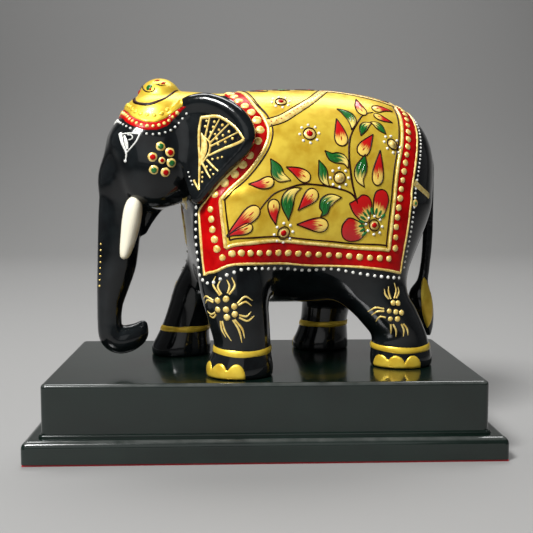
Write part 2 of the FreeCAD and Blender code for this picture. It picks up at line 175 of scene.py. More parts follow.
def ball(centre, radii, turned=(0, 0, 0)):
    """An ellipsoid, turned by Euler angles in degrees."""
    centre, radii = np.array(centre, float), np.array(radii, float)
    axes = np.array(Euler([math.radians(a) for a in turned]).to_matrix()).T
    reach = max(radii)

    def distance(x, y, z):
        away = (x - centre[0], y - centre[1], z - centre[2])
        own = [sum(axes[k][j] * away[j] for j in range(3)) for k in range(3)]
        near = np.sqrt(sum((own[k] / radii[k]) ** 2 for k in range(3)))
        far = np.sqrt(sum((own[k] / radii[k] ** 2) ** 2 for k in range(3)))
        return near * (near - 1) / np.maximum(far, 1e-6)

    return centre - reach, centre + reach, distance


def limb(stations, flat=1.0, count=40):
    """A round limb through stations of x, y, z, radius. flat under 1 makes it narrower across."""
    beads = spread(stations, count)
    low = (beads[:, :3] - beads[:, 3:]).min(0)
    high = (beads[:, :3] + beads[:, 3:]).max(0)

    def distance(x, y, z):
        return np.minimum.reduce([
            np.sqrt((x - bx) ** 2 + ((y - by) / flat) ** 2 + (z - bz) ** 2) - radius
            for bx, by, bz, radius in beads
        ])

    return low, high, distance


def column(stations):
    """An upright leg through stations of z, centre x, centre y, half length, half width."""
    table = spread(stations, 60)
    low = (table[:, 1] - table[:, 3]).min(), (table[:, 2] - table[:, 4]).min(), table[0, 0]
    high = (table[:, 1] + table[:, 3]).max(), (table[:, 2] + table[:, 4]).max(), table[-1, 0]

    def distance(x, y, z):
        cx, cy, a, b = read(table, z)
        ratio = np.sqrt(((x - cx) / a) ** 2 + ((y - cy) / b) ** 2)
        sideways = (ratio - 1) * np.minimum(a, b)
        return np.maximum(sideways, np.maximum(table[0, 0] - z, z - table[-1, 0]))

    return low, high, distance


def barrel(stations, power):
    """The trunk of the body through stations of x, middle height, half height, half width."""
    table = spread(stations, 90)
    low = table[0, 0], -table[:, 3].max(), (table[:, 1] - table[:, 2]).min()
    high = table[-1, 0], table[:, 3].max(), (table[:, 1] + table[:, 2]).max()

    def distance(x, y, z):
        middle, half_height, half_width = read(table, x)
        ratio = (np.abs(y / half_width) ** power + np.abs((z - middle) / half_height) ** power) ** (1 / power)
        ends = np.maximum(table[0, 0] - x, x - table[-1, 0])
        return np.maximum((ratio - 1) * np.minimum(half_width, half_height), ends)

    return low, high, distance


# ---------- the carving

STEP = 0.95
CLAY_LOW, CLAY_HIGH = (-94, -50, -3), (81, 50, 137)
SQUARENESS = 2.3  # the power of the torso's cross-section: 2 would be an ellipse

TORSO = (
    (-51.5, 93.5, 8, 7), (-48.3, 90, 18, 14.5), (-45, 84.5, 31, 24), (-40.5, 79.5, 41, 31),
    (-32, 78.5, 45.6, 35.5), (-18, 77.5, 48.6, 39), (0, 77.5, 49.5, 40.5), (18, 77.5, 49.5, 41),
    (36, 77.5, 48, 39.5), (50, 80, 41.8, 35.5), (59, 83.5, 33.4, 29.5), (65, 86, 25.6, 22),
    (69.5, 87.5, 17.3, 14), (72, 88, 9.5, 8),
)
FORE_LEFT_LEG = (
    (-0.5, -29.5, -29.5, 14.3, 12.6), (4, -29.5, -29.5, 14.6, 12.8), (9, -29, -29.5, 13.3, 12),
    (14, -28.5, -29.5, 12.5, 11.5), (24, -30, -29.3, 13.5, 12), (36, -31.8, -28.5, 14.8, 13),
    (50, -32, -25.5, 16, 13.5), (62, -32, -23, 17, 14), (76, -31, -19, 17, 15),
)
FORE_RIGHT_LEG = (
    (-0.5, -45.5, 29.5, 14.6, 12.6), (4, -45.5, 29.5, 14.6, 12.8), (9, -44.5, 29.5, 13, 12),
    (15, -42.8, 29.5, 11.8, 11.5), (24, -39.5, 29.3, 12, 12), (34, -35.8, 28, 12.8, 13),
    (48, -28.5, 25, 14, 13.5), (62, -26, 22.5, 15, 14), (76, -25, 19, 15, 15),
)
HIND_LEFT_LEG = (
    (-0.5, 48.5, -26, 14.3, 12.6), (4, 48.5, -26, 14.6, 12.8), (9, 48, -26, 13.8, 12.2),
    (14, 47.2, -26, 13, 12), (20, 43.5, -26, 14.2, 12.5), (27, 38.8, -25.7, 15.6, 13),
    (34, 34.5, -25, 16.3, 13.5), (46, 32, -23.5, 18.5, 14.5), (58, 35, -21, 18.5, 15), (72, 40, -18, 20, 15),
)
HIND_RIGHT_LEG = (
    (-0.5, 26.5, 26, 14.3, 12.6), (4, 26.5, 26, 14.2, 12.8), (9, 27.5, 26, 13, 12),
    (15, 28.3, 26, 12, 11.7), (24, 30, 25.8, 13, 12.2), (34, 34, 25, 17, 13.5),
    (46, 38, 23, 22, 14.5), (60, 40, 20, 24, 15), (72, 42, 18, 22, 15),
)
TRUNK = (
    (-67, 0, 97, 15), (-73.5, 0, 87, 13.8), (-76, 0, 78, 11.2), (-77.9, 0, 68, 9.9), (-78.8, 0, 58, 9.4),
    (-79.7, 0, 48, 8.8), (-81.4, 0, 39, 7.4), (-83, 0, 30, 5.9), (-83.4, 0, 22, 5.5), (-82.6, 0, 15.4, 5.8),
    (-79.4, 0, 12.8, 6.2), (-75, 0, 13.4, 6.2), (-70.8, 0, 15.4, 4.9), (-68.4, 0, 19.2, 2.3),
)
TAIL = (
    (60, 0, 106, 5.5), (67, 0, 101.5, 5), (71.6, 0, 94, 4.2), (73.4, 0, 84, 2.9), (73.7, 0, 70, 2.6),
    (73.6, 0, 56, 2.5), (72.6, 0, 44, 2.4), (71, 0, 33.5, 2.7),
)
TUFT = ((70.8, 0, 34, 2.6), (70, 0, 28, 5.9), (71.6, 0, 20.5, 5.6), (73.8, 0, 13.5, 3.4), (75.2, 0, 8.8, 1.1))
LIP = (
    (-61, 0, 83, 8.5), (-63.6, 0, 75, 5.6), (-65.6, 0, 69, 3.5), (-66.9, 0, 64.4, 2.2), (-67.3, 0, 62.2, 1.5),
)

EAR_OUTLINE = (
    (-54, 118), (-47, 120.5), (-40, 120), (-33, 116.5), (-27.5, 110), (-25, 103.5), (-27, 98),
    (-33, 92), (-39, 86.5), (-44, 80.5), (-48.5, 75), (-52, 78), (-55, 92), (-56, 106),
)
EAR_RIM = (
    (-55, 113, 2.6), (-51, 117.3, 3.6), (-44, 118.6, 4.0), (-37, 116.2, 4.1), (-31, 111.2, 4.1),
    (-28.2, 104.6, 3.9), (-30, 98.6, 3.3), (-36.5, 91.3, 2.7), (-43, 83.6, 2.5), (-48, 77.2, 2.3),
)


def polygon_distance(px, pz, outline):
    """Signed distance from points to a closed outline, negative inside."""
    outline = np.asarray(outline, float)
    best = np.full(np.broadcast(px, pz).shape, 1e9)
    inside = np.zeros(best.shape, bool)
    for (ax, az), (bx, bz) in zip(outline, np.roll(outline, -1, axis=0)):
        ex, ez = bx - ax, bz - az
        t = np.clip(((px - ax) * ex + (pz - az) * ez) / (ex * ex + ez * ez), 0, 1)
        best = np.minimum(best, (px - ax - t * ex) ** 2 + (pz - az - t * ez) ** 2)
        crosses = ((az > pz) != (bz > pz)) & (px < ax + ex * (pz - az) / (ez if ez else 1e-9))
        inside ^= crosses
    return np.where(inside, -1, 1) * np.sqrt(best)


def round_outline(corners, count=120):
    """A smooth curve through the corners, whose closing edge is straight."""
    corners = np.asarray(corners, float)
    wrapped = np.concatenate([corners[-2:], corners, corners[:3]])
    per = count // len(corners)
    curve = spread(wrapped, (len(wrapped) - 1) * per + 1)
    return curve[2 * per:(len(corners) + 1) * per + 1]


def ear_plane(x, z):
    """How far out from the middle the ear's mid-surface is: it leans out backwards and downwards."""
    return 20.5 + 0.62 * (x + 52) + 0.2 * (112 - z)


def ear_leaf(side):
    outline = round_outline(EAR_OUTLINE)
    low = (-58, min(side * 14, side * 50), 70)
    high = (-22, max(side * 14, side * 50), 124)

    def distance(x, y, z):
        flat = polygon_distance(x, z, outline)
        out = np.abs(side * y - ear_plane(x, z)) * 0.82 - 1.6
        return np.maximum(flat + 1.2, out)

    return low, high, distance


def ear_rim(side):
    stations = [(x, side * (ear_plane(x, z) + 0.4), z, r) for x, z, r in EAR_RIM]
    return limb(stations, count=60)


FACE = (
    # balls of the face on one side, as centre, radii and softness: brow, cheek
    ((-70.3, 8.5, 101.8), (11.3, 10.5, 8.4), 8), ((-63.5, 13, 87.5), (13.5, 10.5, 14), 9),
)
TUSK_SHEATH = ((-68.5, 12.5, 93, 6.5), (-70, 12, 87, 5.5), (-71, 11.5, 83, 4.2))


def carve():
    clay = Clay(CLAY_LOW, CLAY_HIGH, STEP)
    clay.press(barrel(TORSO, SQUARENESS), 1)
    for leg in (FORE_LEFT_LEG, FORE_RIGHT_LEG, HIND_LEFT_LEG, HIND_RIGHT_LEG):
        clay.press(column(leg), 10)
    clay.press(ball((-60, 0, 98), (22, 24, 24.5)), 6)
    clay.press(ball((-47, 0, 102), (20, 20, 23)), 8)
    for side in SIDES:
        for centre, radii, soft in FACE:
            clay.press(ball(np.multiply(centre, (1, side, 1)), radii), soft)
        clay.press(limb(np.multiply(TUSK_SHEATH, (1, side, 1, 1))), 5)
    clay.press(limb(TRUNK, flat=0.93, count=70), 4)
    clay.press(limb(LIP, flat=0.9, count=24), 3)
    clay.press(ball((-60.5, 0, 115), (14, 17, 9)), 4)
    clay.press(ball((-59.5, 0, 121), (9.6, 11.5, 9.7)), 1.2)
    for side in SIDES:
        clay.press(ear_leaf(side), 2)
        clay.press(ear_rim(side), 2)
    clay.press(limb(TAIL, count=60), 2)
    clay.press(limb(TUFT, flat=0.85, count=30), 2)
    part, _, _, z = clay.window(CLAY_LOW, (*CLAY_HIGH[:2], 0.5))
    clay.field[part] = np.maximum(clay.field[part], -z)
    return clay.skin()


def vertex_normals(points, faces):
    corners = points[faces]
    flat = np.cross(corners[:, 1] - corners[:, 0], corners[:, 2] - corners[:, 0])
    normals = np.zeros_like(points)
    for k in range(3):
        np.add.at(normals, faces[:, k], flat)
    return normals / np.maximum(np.linalg.norm(normals, axis=1, keepdims=True), 1e-12)


def relax(points, faces, rounds, amount=0.5):
    """Evens the surface out without shrinking it: each round smooths and then swells back."""
    pairs = np.concatenate([faces[:, [0, 1]], faces[:, [1, 2]], faces[:, [2, 0]]])
    edges = np.unique(np.sort(pairs, axis=1), axis=0)
    counts = np.bincount(edges.ravel(), minlength=len(points)).astype(float)[:, None]
    for step in (amount, -amount * 1.04) * rounds:
        total = np.zeros_like(points)
        np.add.at(total, edges[:, 0], points[edges[:, 1]])
        np.add.at(total, edges[:, 1], points[edges[:, 0]])
        points = points + step * (total / np.maximum(counts, 1) - points)
    return points


# ---------- cloth over the back

CLOTH_FORM = (
    # the plain barrel that the blanket is measured on: x, middle height, half height, half width
    (-54, 92, 9, 8), (-51, 88, 22, 17), (-47, 83, 33, 25), (-41, 79.5, 41, 31), *TORSO[4:8],
    (36, 77, 48.6, 39.5), (50, 76.7, 45.2, 35.5), (59, 77.5, 39.5, 29.5), (65, 81, 31, 22),
    (69.5, 84, 21, 14), (72, 86, 12, 8),
)
AXIS_Z = 78.0
DROPS = np.arange(0, 126, 1.0)
LENGTHS = np.arange(-52, 74, 1.0)


def drop_table():
    """For each place along the body and each length of cloth down from the spine, the angle it reaches."""
    middle, half_height, half_width = (column[:, None] for column in read(spread(CLOTH_FORM, 90), LENGTHS))
    angles = np.radians(np.arange(0, 151, 1.0))[None, :]
    near, far = np.zeros((len(LENGTHS), angles.shape[1])), np.full((len(LENGTHS), angles.shape[1]), 90.0)
    for _ in range(30):
        reach = (near + far) / 2
        out = np.abs(reach * np.sin(angles) / half_width) ** SQUARENESS
        up = np.abs((AXIS_Z + reach * np.cos(angles) - middle) / half_height) ** SQUARENESS
        inside = out + up < 1
        near, far = np.where(inside, reach, near), np.where(inside, far, reach)
    y, z = reach * np.sin(angles), reach * np.cos(angles)
    steps = np.hypot(np.diff(y, axis=1), np.diff(z, axis=1))
    runs = np.concatenate([np.zeros((len(LENGTHS), 1)), np.cumsum(steps, axis=1)], axis=1)
    return np.array([np.interp(DROPS, run, angles[0]) for run in runs])


DROP_ANGLES = drop_table()


def drop_angle(x, drop):
    """The angle from straight up at which cloth lies that hangs drop millimetres down from the spine."""
    i = np.clip(np.asarray(x, float) - LENGTHS[0], 0, len(LENGTHS) - 1.001)
    j = np.clip(np.asarray(drop, float), 0, len(DROPS) - 1.001)
    a, b = i.astype(int), j.astype(int)
    s, t = i - a, j - b
    first = DROP_ANGLES[a, b] * (1 - t) + DROP_ANGLES[a, b + 1] * t
    second = DROP_ANGLES[a + 1, b] * (1 - t) + DROP_ANGLES[a + 1, b + 1] * t
    return first * (1 - s) + second * s


# ---------- laying shapes on the carving


def cast(start, towards, fallback):
    """Where a line meets the carving, and which way the surface faces there."""
    spot, normal, _, _ = CARVING.ray_cast(start, towards)
    if spot is None:
        spot, normal, _, _ = CARVING.find_nearest(fallback)
    return spot, normal


def settle(places, lift):
    """Places moved to the nearest point of the carving and out by lift, and which way it faces there."""
    places = np.asarray(places, float)
    lifts = np.broadcast_to(lift, places.shape[:-1]).reshape(-1, 1)
    found = [CARVING.find_nearest(Vector(place)) for place in places.reshape(-1, 3)]
    normals = np.array([normal for _, normal, _, _ in found])
    spots = np.array([spot for spot, _, _, _ in found]) + normals * lifts
    return spots.reshape(places.shape), normals.reshape(places.shape)


class Lay:
    """Finds spots on the carving from flat places. base is how far out the paint below them stands."""

    def __init__(self, aim, base=0.0):
        self.aim, self.base = aim, base

    def spots(self, flat):
        found = [cast(*self.aim(*place)) for place in flat]
        return np.array([spot for spot, _ in found]), np.array([normal for _, normal in found])


class Near(Lay):
    """Takes places in space beside the left flank, mirrored for the right one."""

    def __init__(self, side, base=0.0):
        self.mirror, self.base = (1, -side, 1), base

    def spots(self, flat):
        return settle(np.asarray(flat, float) * self.mirror, 0)


def flank(side, base=0.0):
    """Flat places as seen from one side: how far along, how high."""
    def aim(x, z):
        return Vector((x, side * 80, z)), Vector((0, -side, 0)), Vector((x, side * 12, z))
    return Lay(aim, base)


def cloth(side, base=0.0):
    """Flat places on a cloth over the back: how far along, how far down from the spine."""
    def aim(x, drop):
        way = side or math.copysign(1, drop)
        angle = float(drop_angle(x, abs(drop)))
        out = Vector((0, way * math.sin(angle), math.cos(angle)))
        axis = Vector((x, 0, AXIS_Z))
        return axis, out, axis + out * 40
    return Lay(aim, base)


def around(radius, axis_at, side, base, reach):
    """Flat places round an upright axis: how far round from its front towards one side, how high."""
    def aim(run, z):
        angle = run / radius
        out = Vector((-math.cos(angle), side * math.sin(angle), 0))
        axis = Vector((*axis_at(z), z))
        return axis, out, axis + out * reach
    return Lay(aim, base)


LEG_ROUND = 13.0
HEAD_ROUND = 20.0
HEAD_AXIS = -60.0


def round_leg(stations, side):
    table = spread(stations, 60)
    return around(LEG_ROUND, lambda z: read(table, z)[:2], side, 0.0, 12)


def round_head(side, base=0.0):
    return around(HEAD_ROUND, lambda z: (HEAD_AXIS, 0), side, base, 20)


def travelled(line):
    """How far along a line each of its points is."""
    return np.concatenate([[0], np.cumsum(np.linalg.norm(np.diff(line, axis=0), axis=1))])


def sampled(line, keys, at):
    """A line's places between its points, which are at the given keys."""
    return np.column_stack([np.interp(at, keys, column) for column in line.T])


def smooth_path(path, step=0.8):
    """A smooth line through a few points, in even steps."""
    path = np.asarray(path, float)
    if len(path) == 2:
        path = np.array([path[0], path.mean(0), path[1]])
    fine = spread(path, 12 * len(path))
    run = travelled(fine)
    return sampled(fine, run, np.linspace(0, run[-1], max(4, int(run[-1] / step) + 1)))


def evenly(path, spacing, start=0.0):
    """Evenly spaced places along a line."""
    line = smooth_path(path, 0.4)
    run = travelled(line)
    return sampled(line, run, np.arange(start, run[-1] + 0.01, spacing))


def part_of(path, first, last):
    """The middle of a smooth line, from one share of its length to another."""
    line = smooth_path(path, 0.3)
    return line[int(len(line) * first):int(len(line) * last)]


def circle(x, z, radius, angles):
    return [(x + math.cos(angle) * radius, z + math.sin(angle) * radius) for angle in angles]


def sideways(line):
    ahead = np.gradient(line, axis=0)
    ahead /= np.maximum(np.linalg.norm(ahead, axis=1, keepdims=True), 1e-9)
    return np.column_stack([-ahead[:, 1], ahead[:, 0]])


def across_line(spots, normals):
    """Unit vectors along the surface, square to a line on it."""
    padded = np.concatenate([normals[:1], normals, normals[-1:]])
    facing = padded[:-2] + padded[1:-1] + padded[2:]
    over = np.cross(facing, np.gradient(spots, axis=0))
    return over / np.maximum(np.linalg.norm(over, axis=1, keepdims=True), 1e-9)


def strips(rows, columns, closed=False):
    """Quads over a grid of points stored row by row. In a closed one each row is a ring."""
    return [
        (r * columns + c, r * columns + (c + 1) % columns,
         (r + 1) * columns + (c + 1) % columns, (r + 1) * columns + c)
        for r in range(rows - 1) for c in range(columns if closed else columns - 1)
    ]


LEAF_FORMS = {
    # how wide a leaf is at each place along it, from 0 to 1
    "bud": lambda t: np.sin(np.pi * t / 2) ** 1.15 * np.sqrt(1 - t**6),
    "comma": lambda t: np.sin(np.pi * t) ** 1.25,
    "leaf": lambda t: np.sin(np.pi * t) ** 0.8,
}


def clip(columns, faces, values):
    """Keeps the part of a mesh where values are negative, cutting triangles along the zero line."""
    columns, values = list(columns), list(values)
    kept, cuts = [], {}

    def cut(a, b):
        key = (min(a, b), max(a, b))
        if key not in cuts:
            t = values[a] / (values[a] - values[b])
            cuts[key] = len(columns)
            columns.append(columns[a] * (1 - t) + columns[b] * t)
            values.append(0.0)
        return cuts[key]

    count = np.asarray(values) < 0
    within = count[faces].sum(1)
    kept.extend(map(tuple, faces[within == 3]))
    for face in faces[(within == 1) | (within == 2)]:
        ring = []
        for a, b in zip(face, np.roll(face, -1)):
            if values[a] < 0:
                ring.append(a)
            if (values[a] < 0) != (values[b] < 0):
                ring.append(cut(a, b))
        kept.append(tuple(ring))
    used = sorted({i for face in kept for i in face})
    place = {old: new for new, old in enumerate(used)}
    return (
        np.array([columns[i] for i in used]), [tuple(place[i] for i in face) for face in kept],
        np.array([values[i] for i in used]),
    )


SUNK = -0.08  # how far the rim of a coat lies below the surface, so that no gap shows


def edge_lift(values, height, soft=0.45):
    """How high a coat of paint stands: full inside, rounded down to the surface at its edge."""
    t = np.clip(-values / soft, 0, 1)
    return np.where(t > 0, height * np.sqrt(1 - (1 - t) ** 2) + 0.02, SUNK)


PETAL_RINGS = np.array([0.0, 0.35, 0.65, 0.85, 0.95, 1.0])
PETAL_FADE = 1.35
DOT_RINGS = (0.45, 0.8, 1.0)
DOT_SIDES = 12
BEAD = np.array([(-1, SUNK), (-0.65, 0.72), (0, 1.0), (0.65, 0.72), (1, SUNK)])


class Coat:
    """Painted shapes of one colour, gathered into one piece."""

    def __init__(self):
        self.points, self.faces, self.along, self.across, self.size = [], [], [], [], 0

    def add(self, placed, shape_faces, outward=None, along=None, across=None):
        """Adds a shape, turned so that its faces look the way outward points at each place."""
        placed = placed.reshape(-1, 3)
        if outward is not None:
            a, b, c = (placed[[face[k] for face in shape_faces]] for k in range(3))
            facing = np.cross(b - a, c - a) * outward.reshape(-1, 3)[[face[0] for face in shape_faces]]
            if facing.sum() < 0:
                shape_faces = [tuple(reversed(face)) for face in shape_faces]
        self.points.append(placed)
        self.faces.extend(tuple(i + self.size for i in face) for face in shape_faces)
        self.size += len(placed)
        self.along.append(np.zeros(len(placed)) if along is None else along)
        self.across.append(np.zeros(len(placed)) if across is None else across)

    def dot(self, lay, centre, radius, height=0.45):
        """A round drop of paint."""
        (spot,), (normal,) = lay.spots([centre])
        first = np.cross(normal, (0.2, 0.3, 1.0))
        first /= np.linalg.norm(first)
        second = np.cross(normal, first)
        places, lifts = [spot], [height]
        for ring in DOT_RINGS:
            for k in range(DOT_SIDES):
                angle = 2 * math.pi * k / DOT_SIDES
                reach = radius * ring * (1 + random.uniform(-0.07, 0.07))
                places.append(spot + reach * (math.cos(angle) * first + math.sin(angle) * second))
                lifts.append(height * math.sqrt(1 - ring**2) if ring < 1 else SUNK)
        placed, outward = settle(places, lay.base + np.array(lifts))
        rings = strips(len(DOT_RINGS), DOT_SIDES, closed=True)
        shape_faces = [(0, 1 + (k + 1) % DOT_SIDES, 1 + k) for k in range(DOT_SIDES)]
        shape_faces += [tuple(i + 1 for i in face) for face in rings]
        self.add(placed, shape_faces, outward)

    def dots(self, lay, places, radius, height=0.45):
        for place in places:
            self.dot(lay, place, radius * (1 + random.uniform(-0.1, 0.1)), height)

    def bead(self, spots, normals, width, height, ends, base):
        """A half-round line of paint over spots on the carving, whose width is scaled at its ends."""
        t = np.linspace(0, 1, len(spots))
        scale = np.interp(t, (0, 0.5, 1), (ends[0], 1, ends[1]))
        scale = scale * (1 + 0.07 * np.sin(t * len(spots) * 0.35 + width * 9))
        offsets = BEAD[:, 0] * (scale * width / 2)[:, None]
        lifts = np.where(BEAD[:, 1] > 0, BEAD[:, 1] * height, SUNK) * np.minimum(scale, 1)[:, None]
        places = spots[:, None] + offsets[:, :, None] * across_line(spots, normals)[:, None]
        placed, outward = settle(places, base + lifts)
        self.add(placed, strips(len(spots), len(BEAD)), outward)

    def stroke(self, lay, path, width, height=0.32, ends=(1.0, 1.0), step=0.8):
        """A brush stroke. Where the carving falls away under it, only its longest run is kept."""
        spots, normals = lay.spots(smooth_path(path, step))
        gaps = np.linalg.norm(np.diff(spots, axis=0), axis=1)
        breaks = np.flatnonzero(gaps > 2.5 + 2 * np.median(gaps)) + 1
        run = max(np.split(np.arange(len(spots)), breaks), key=len)
        if len(run) > 2:
            self.bead(spots[run], normals[run], width, height, ends, lay.base)

    def leaf(self, lay, spine, width, form="bud", height=0.3, outline=None):
        """A filled petal, bud or leaf from its tip to its far end, and its outline in another coat."""
        line = smooth_path(spine, 0.35)
        t = (1 - np.cos(np.linspace(0, math.pi, 26))) / 2
        line = sampled(line, np.linspace(0, 1, len(line)), t)
        half = LEAF_FORMS[form](t) * width / 2
        spots, normals = lay.spots(line)
        over = across_line(spots, normals)
        over[:3], over[-3:] = over[3], over[-4]
        a = np.linspace(-1, 1, 9)
        places = spots[:, None] + (a * half[:, None])[:, :, None] * over[:, None]
        lifts = height * np.sqrt(1 - a**2) * np.minimum(1, half / 0.8)[:, None] + 0.05
        placed, outward = settle(places, lay.base + lifts)
        self.add(placed, strips(len(line), len(a)), outward, np.repeat(t, len(a)), np.tile(a, len(line)))
        if outline is not None:
            coat, line_width = outline
            edge = over * (half + 0.05)[:, None]
            rim = np.concatenate([spots + edge, (spots - edge)[::-1]])[::2]
            spots, normals = settle(smooth_path(rim, 0.7), 0)
            coat.bead(spots, normals, line_width, 0.4, (1, 1), lay.base)

    def fill(self, lay, outline, towards, height=0.3):
        """A filled petal. along is 0 at its far rim and PETAL_FADE at the point it grows towards."""
        rim = smooth_path(list(outline) + [outline[0]], 0.6)[:-1]
        towards, centre = np.array(towards, float), rim.mean(0)
        flat = (centre + (rim - centre)[None, :, :] * PETAL_RINGS[:, None, None]).reshape(-1, 2)
        lift = np.repeat(height * np.sqrt(1 - PETAL_RINGS**2) + 0.08, len(rim))
        spots, normals = lay.spots(flat)
        shape_faces = strips(len(PETAL_RINGS), len(rim), closed=True)
        away = np.linalg.norm(flat - towards, axis=1)
        bearing = np.arctan2(*(flat - towards).T)
        placed = spots + normals * (lay.base + lift)[:, None]
        self.add(placed, shape_faces, normals, PETAL_FADE * (1 - away / away.max()), np.sin(3 * bearing))

    def sheet(self, lay, region, low, high, step, height):
        """A coat over the flat places where region is negative."""
        xs, ys = np.arange(low[0], high[0] + step, step), np.arange(low[1], high[1] + step, step)
        gx, gy = np.meshgrid(xs, ys, indexing="ij")
        flat = np.column_stack([gx.ravel(), gy.ravel()])
        quads = np.array(strips(len(xs), len(ys)))
        triangles = np.concatenate([quads[:, :3], quads[:, [0, 2, 3]]])
        flat, shape_faces, values = clip(flat, triangles, region(flat[:, 0], flat[:, 1]))
        spots, normals = lay.spots(flat)
        self.add(spots + normals * (lay.base + edge_lift(values, height))[:, None], shape_faces, normals)

    def patch(self, region, height):
        """A coat over the part of the carving where region is negative."""
        values = region(points[:, 0], points[:, 1], points[:, 2])
        near = (values < 3)[faces].all(1)
        columns, kept, values = clip(np.column_stack([points, point_normals]), faces[near], values)
        normals = columns[:, 3:] / np.linalg.norm(columns[:, 3:], axis=1, keepdims=True)
        self.add(columns[:, :3] + normals * edge_lift(values, height)[:, None], kept)

    def piece(self, name, material):
        attributes = {"along": np.concatenate(self.along), "across": np.concatenate(self.across)}
        if not attributes["along"].any():
            attributes = {}
        new_piece(name, np.concatenate(self.points), self.faces, material, attributes)


# ---------- pieces


def add_object(name, data):
    thing = bpy.data.objects.new(name, data)
    bpy.context.scene.collection.objects.link(thing)
    return thing


def smooth_mesh(name, places, mesh_faces, material):
    mesh = bpy.data.meshes.new(name)
    mesh.from_pydata(places, [], mesh_faces)
    mesh.materials.append(material)
    mesh.polygons.foreach_set("use_smooth", np.ones(len(mesh.polygons), bool))
    mesh.update()
    return mesh


def new_piece(name, places, piece_faces, material, attributes=None):
    """A mesh piece from places in the elephant's frame, riding on the one body."""
    mesh = smooth_mesh(name, world(places).tolist(), [list(map(int, face)) for face in piece_faces], material)
    for key, values in (attributes or {}).items():
        mesh.attributes.new(key, "FLOAT", "POINT").data.foreach_set("value", np.asarray(values, np.float32))
    piece = add_object(name, mesh)
    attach(piece, "root")
    return piece


# ---------- materials


def feed(material, node, inputs):
    """Sets a node's inputs to plain values, or links them to the outputs of other nodes."""
    for key, value in inputs.items():
        if isinstance(value, bpy.types.NodeSocket):
            material.node_tree.links.new(value, node.inputs[key])
        else:
            node.inputs[key].default_value = value


def add_node(material, kind, inputs, output, **settings):
    """The output of a new shader node."""
    node = material.node_tree.nodes.new(f"ShaderNode{kind}")
    for key, value in settings.items():
        setattr(node, key, value)
    feed(material, node, inputs)
    return node.outputs[output]


def shade(material, inputs):
    """Feeds the material's surface shader."""
    feed(material, material.node_tree.nodes["Principled BSDF"], inputs)


def plain_material(name, colour, roughness, metallic=0.0, coat=0.0, specular=0.5):
    material = bpy.data.materials.new(name)
    material.use_nodes = True
    shade(material, {
        "Base Color": (*colour, 1), "Roughness": roughness, "Metallic": metallic,
        "Specular IOR Level": specular, "Coat Weight": coat, "Coat Roughness": 0.06,
    })
    return material


def noise(material, grain, detail=3.0, stretch=(1, 1, 1)):
    """The level of a noise whose patches are grain millimetres wide."""
    place = add_node(material, "TexCoord", {}, "Object")
    mapped = add_node(material, "Mapping", {"Vector": place, "Scale": stretch}, "Vector")
    inputs = {"Vector": mapped, "Scale": 1 / (grain * MM), "Detail": detail}
    return add_node(material, "TexNoise", inputs, "Fac")


def ramp(material, level, stops):
    """A colour for a level, through (position, colour) stops."""
    node = material.node_tree.nodes.new("ShaderNodeValToRGB")
    for element, (position, colour) in zip(node.color_ramp.elements, stops):
        element.position, element.color = position, (*colour, 1)
    for position, colour in stops[2:]:
        node.color_ramp.elements.new(position).color = (*colour, 1)
    feed(material, node, {"Fac": level})
    return node.outputs["Color"]


def bump(material, level, depth):
    """A bump of the level, depth millimetres deep."""
    inputs = {"Height": level, "Strength": 1.0, "Distance": depth * MM}
    shade(material, {"Normal": add_node(material, "Bump", inputs, "Normal")})


def painted(name, stops, grain, roughness, metallic=0.0, coat=0.0, depth=0.02, bump_grain=None, specular=0.5):
    """Paint whose colour and gloss wander over patches grain millimetres wide, with a shallow bump."""
    material = plain_material(name, stops[0][1], roughness[0], metallic, coat, specular)
    level = noise(material, grain)
    limits = {"From Min": 0.3, "From Max": 0.7, "To Min": roughness[0], "To Max": roughness[1]}
    gloss = add_node(material, "MapRange", {"Value": level, **limits}, "Result")
    shade(material, {"Base Color": ramp(material, level, stops), "Roughness": gloss})
    bump(material, noise(material, bump_grain or grain / 3), depth)
    return material


def along_plus_noise(material, level, share):
    """The along attribute with a share of the level added."""
    along = add_node(material, "Attribute", {}, "Fac", attribute_name="along")
    return add_node(material, "Math", {0: level, 1: share, 2: along}, "Value", operation="MULTIPLY_ADD")


def feathered(name, tip_colour, rest_colour, reach):
    """Paint that runs from a strong colour at a petal's tip into gold, in brush streaks."""
    material = plain_material(name, rest_colour, 0.28, coat=0.4)
    across = add_node(material, "Attribute", {}, "Fac", attribute_name="across")
    place = add_node(material, "CombineXYZ", {"X": across, "Z": 3.0}, "Vector")
    streaks = add_node(material, "TexNoise", {"Vector": place, "Scale": 5.5}, "Fac")
    middle = tuple(a * 0.45 + b * 0.45 for a, b in zip(tip_colour, rest_colour))
    stops = ((reach, tip_colour), (reach + 0.2, rest_colour), (reach + 0.09, middle))
    shade(material, {"Base Color": ramp(material, along_plus_noise(material, streaks, 0.6), stops)})
    bump(material, noise(material, 0.5), 0.03)
    return material


WEAR_BAND = ((0.1, (0, 0, 0)), (1.0, (0, 0, 0)), (0.6, (1, 1, 1)), (0.95, (1, 1, 1)))
WEAR_REACH = 1.6 * MM


def edge_wear(material, level, heights, worn_colour):
    """Rubs the colour paler along the edges just under each of the given heights."""
    place = add_node(material, "TexCoord", {}, "Object")
    z = add_node(material, "SeparateXYZ", {"Vector": place}, "Z")
    colour = material.node_tree.nodes["Principled BSDF"].inputs["Base Color"].links[0].from_socket
    for height in heights:
        limits = {"From Min": height - WEAR_REACH, "From Max": height}
        climb = add_node(material, "MapRange", {"Value": z, **limits}, "Result")
        band = ramp(material, climb, WEAR_BAND)
        share = add_node(material, "Math", {0: band, 1: level}, "Value", operation="MULTIPLY")
        # inputs 6 and 7 and output 2 are a colour mix's A, B and result
        colours = {0: share, 6: colour, 7: (*worn_colour, 1)}
        colour = add_node(material, "Mix", colours, 2, data_type="RGBA")
    shade(material, {"Base Color": colour})


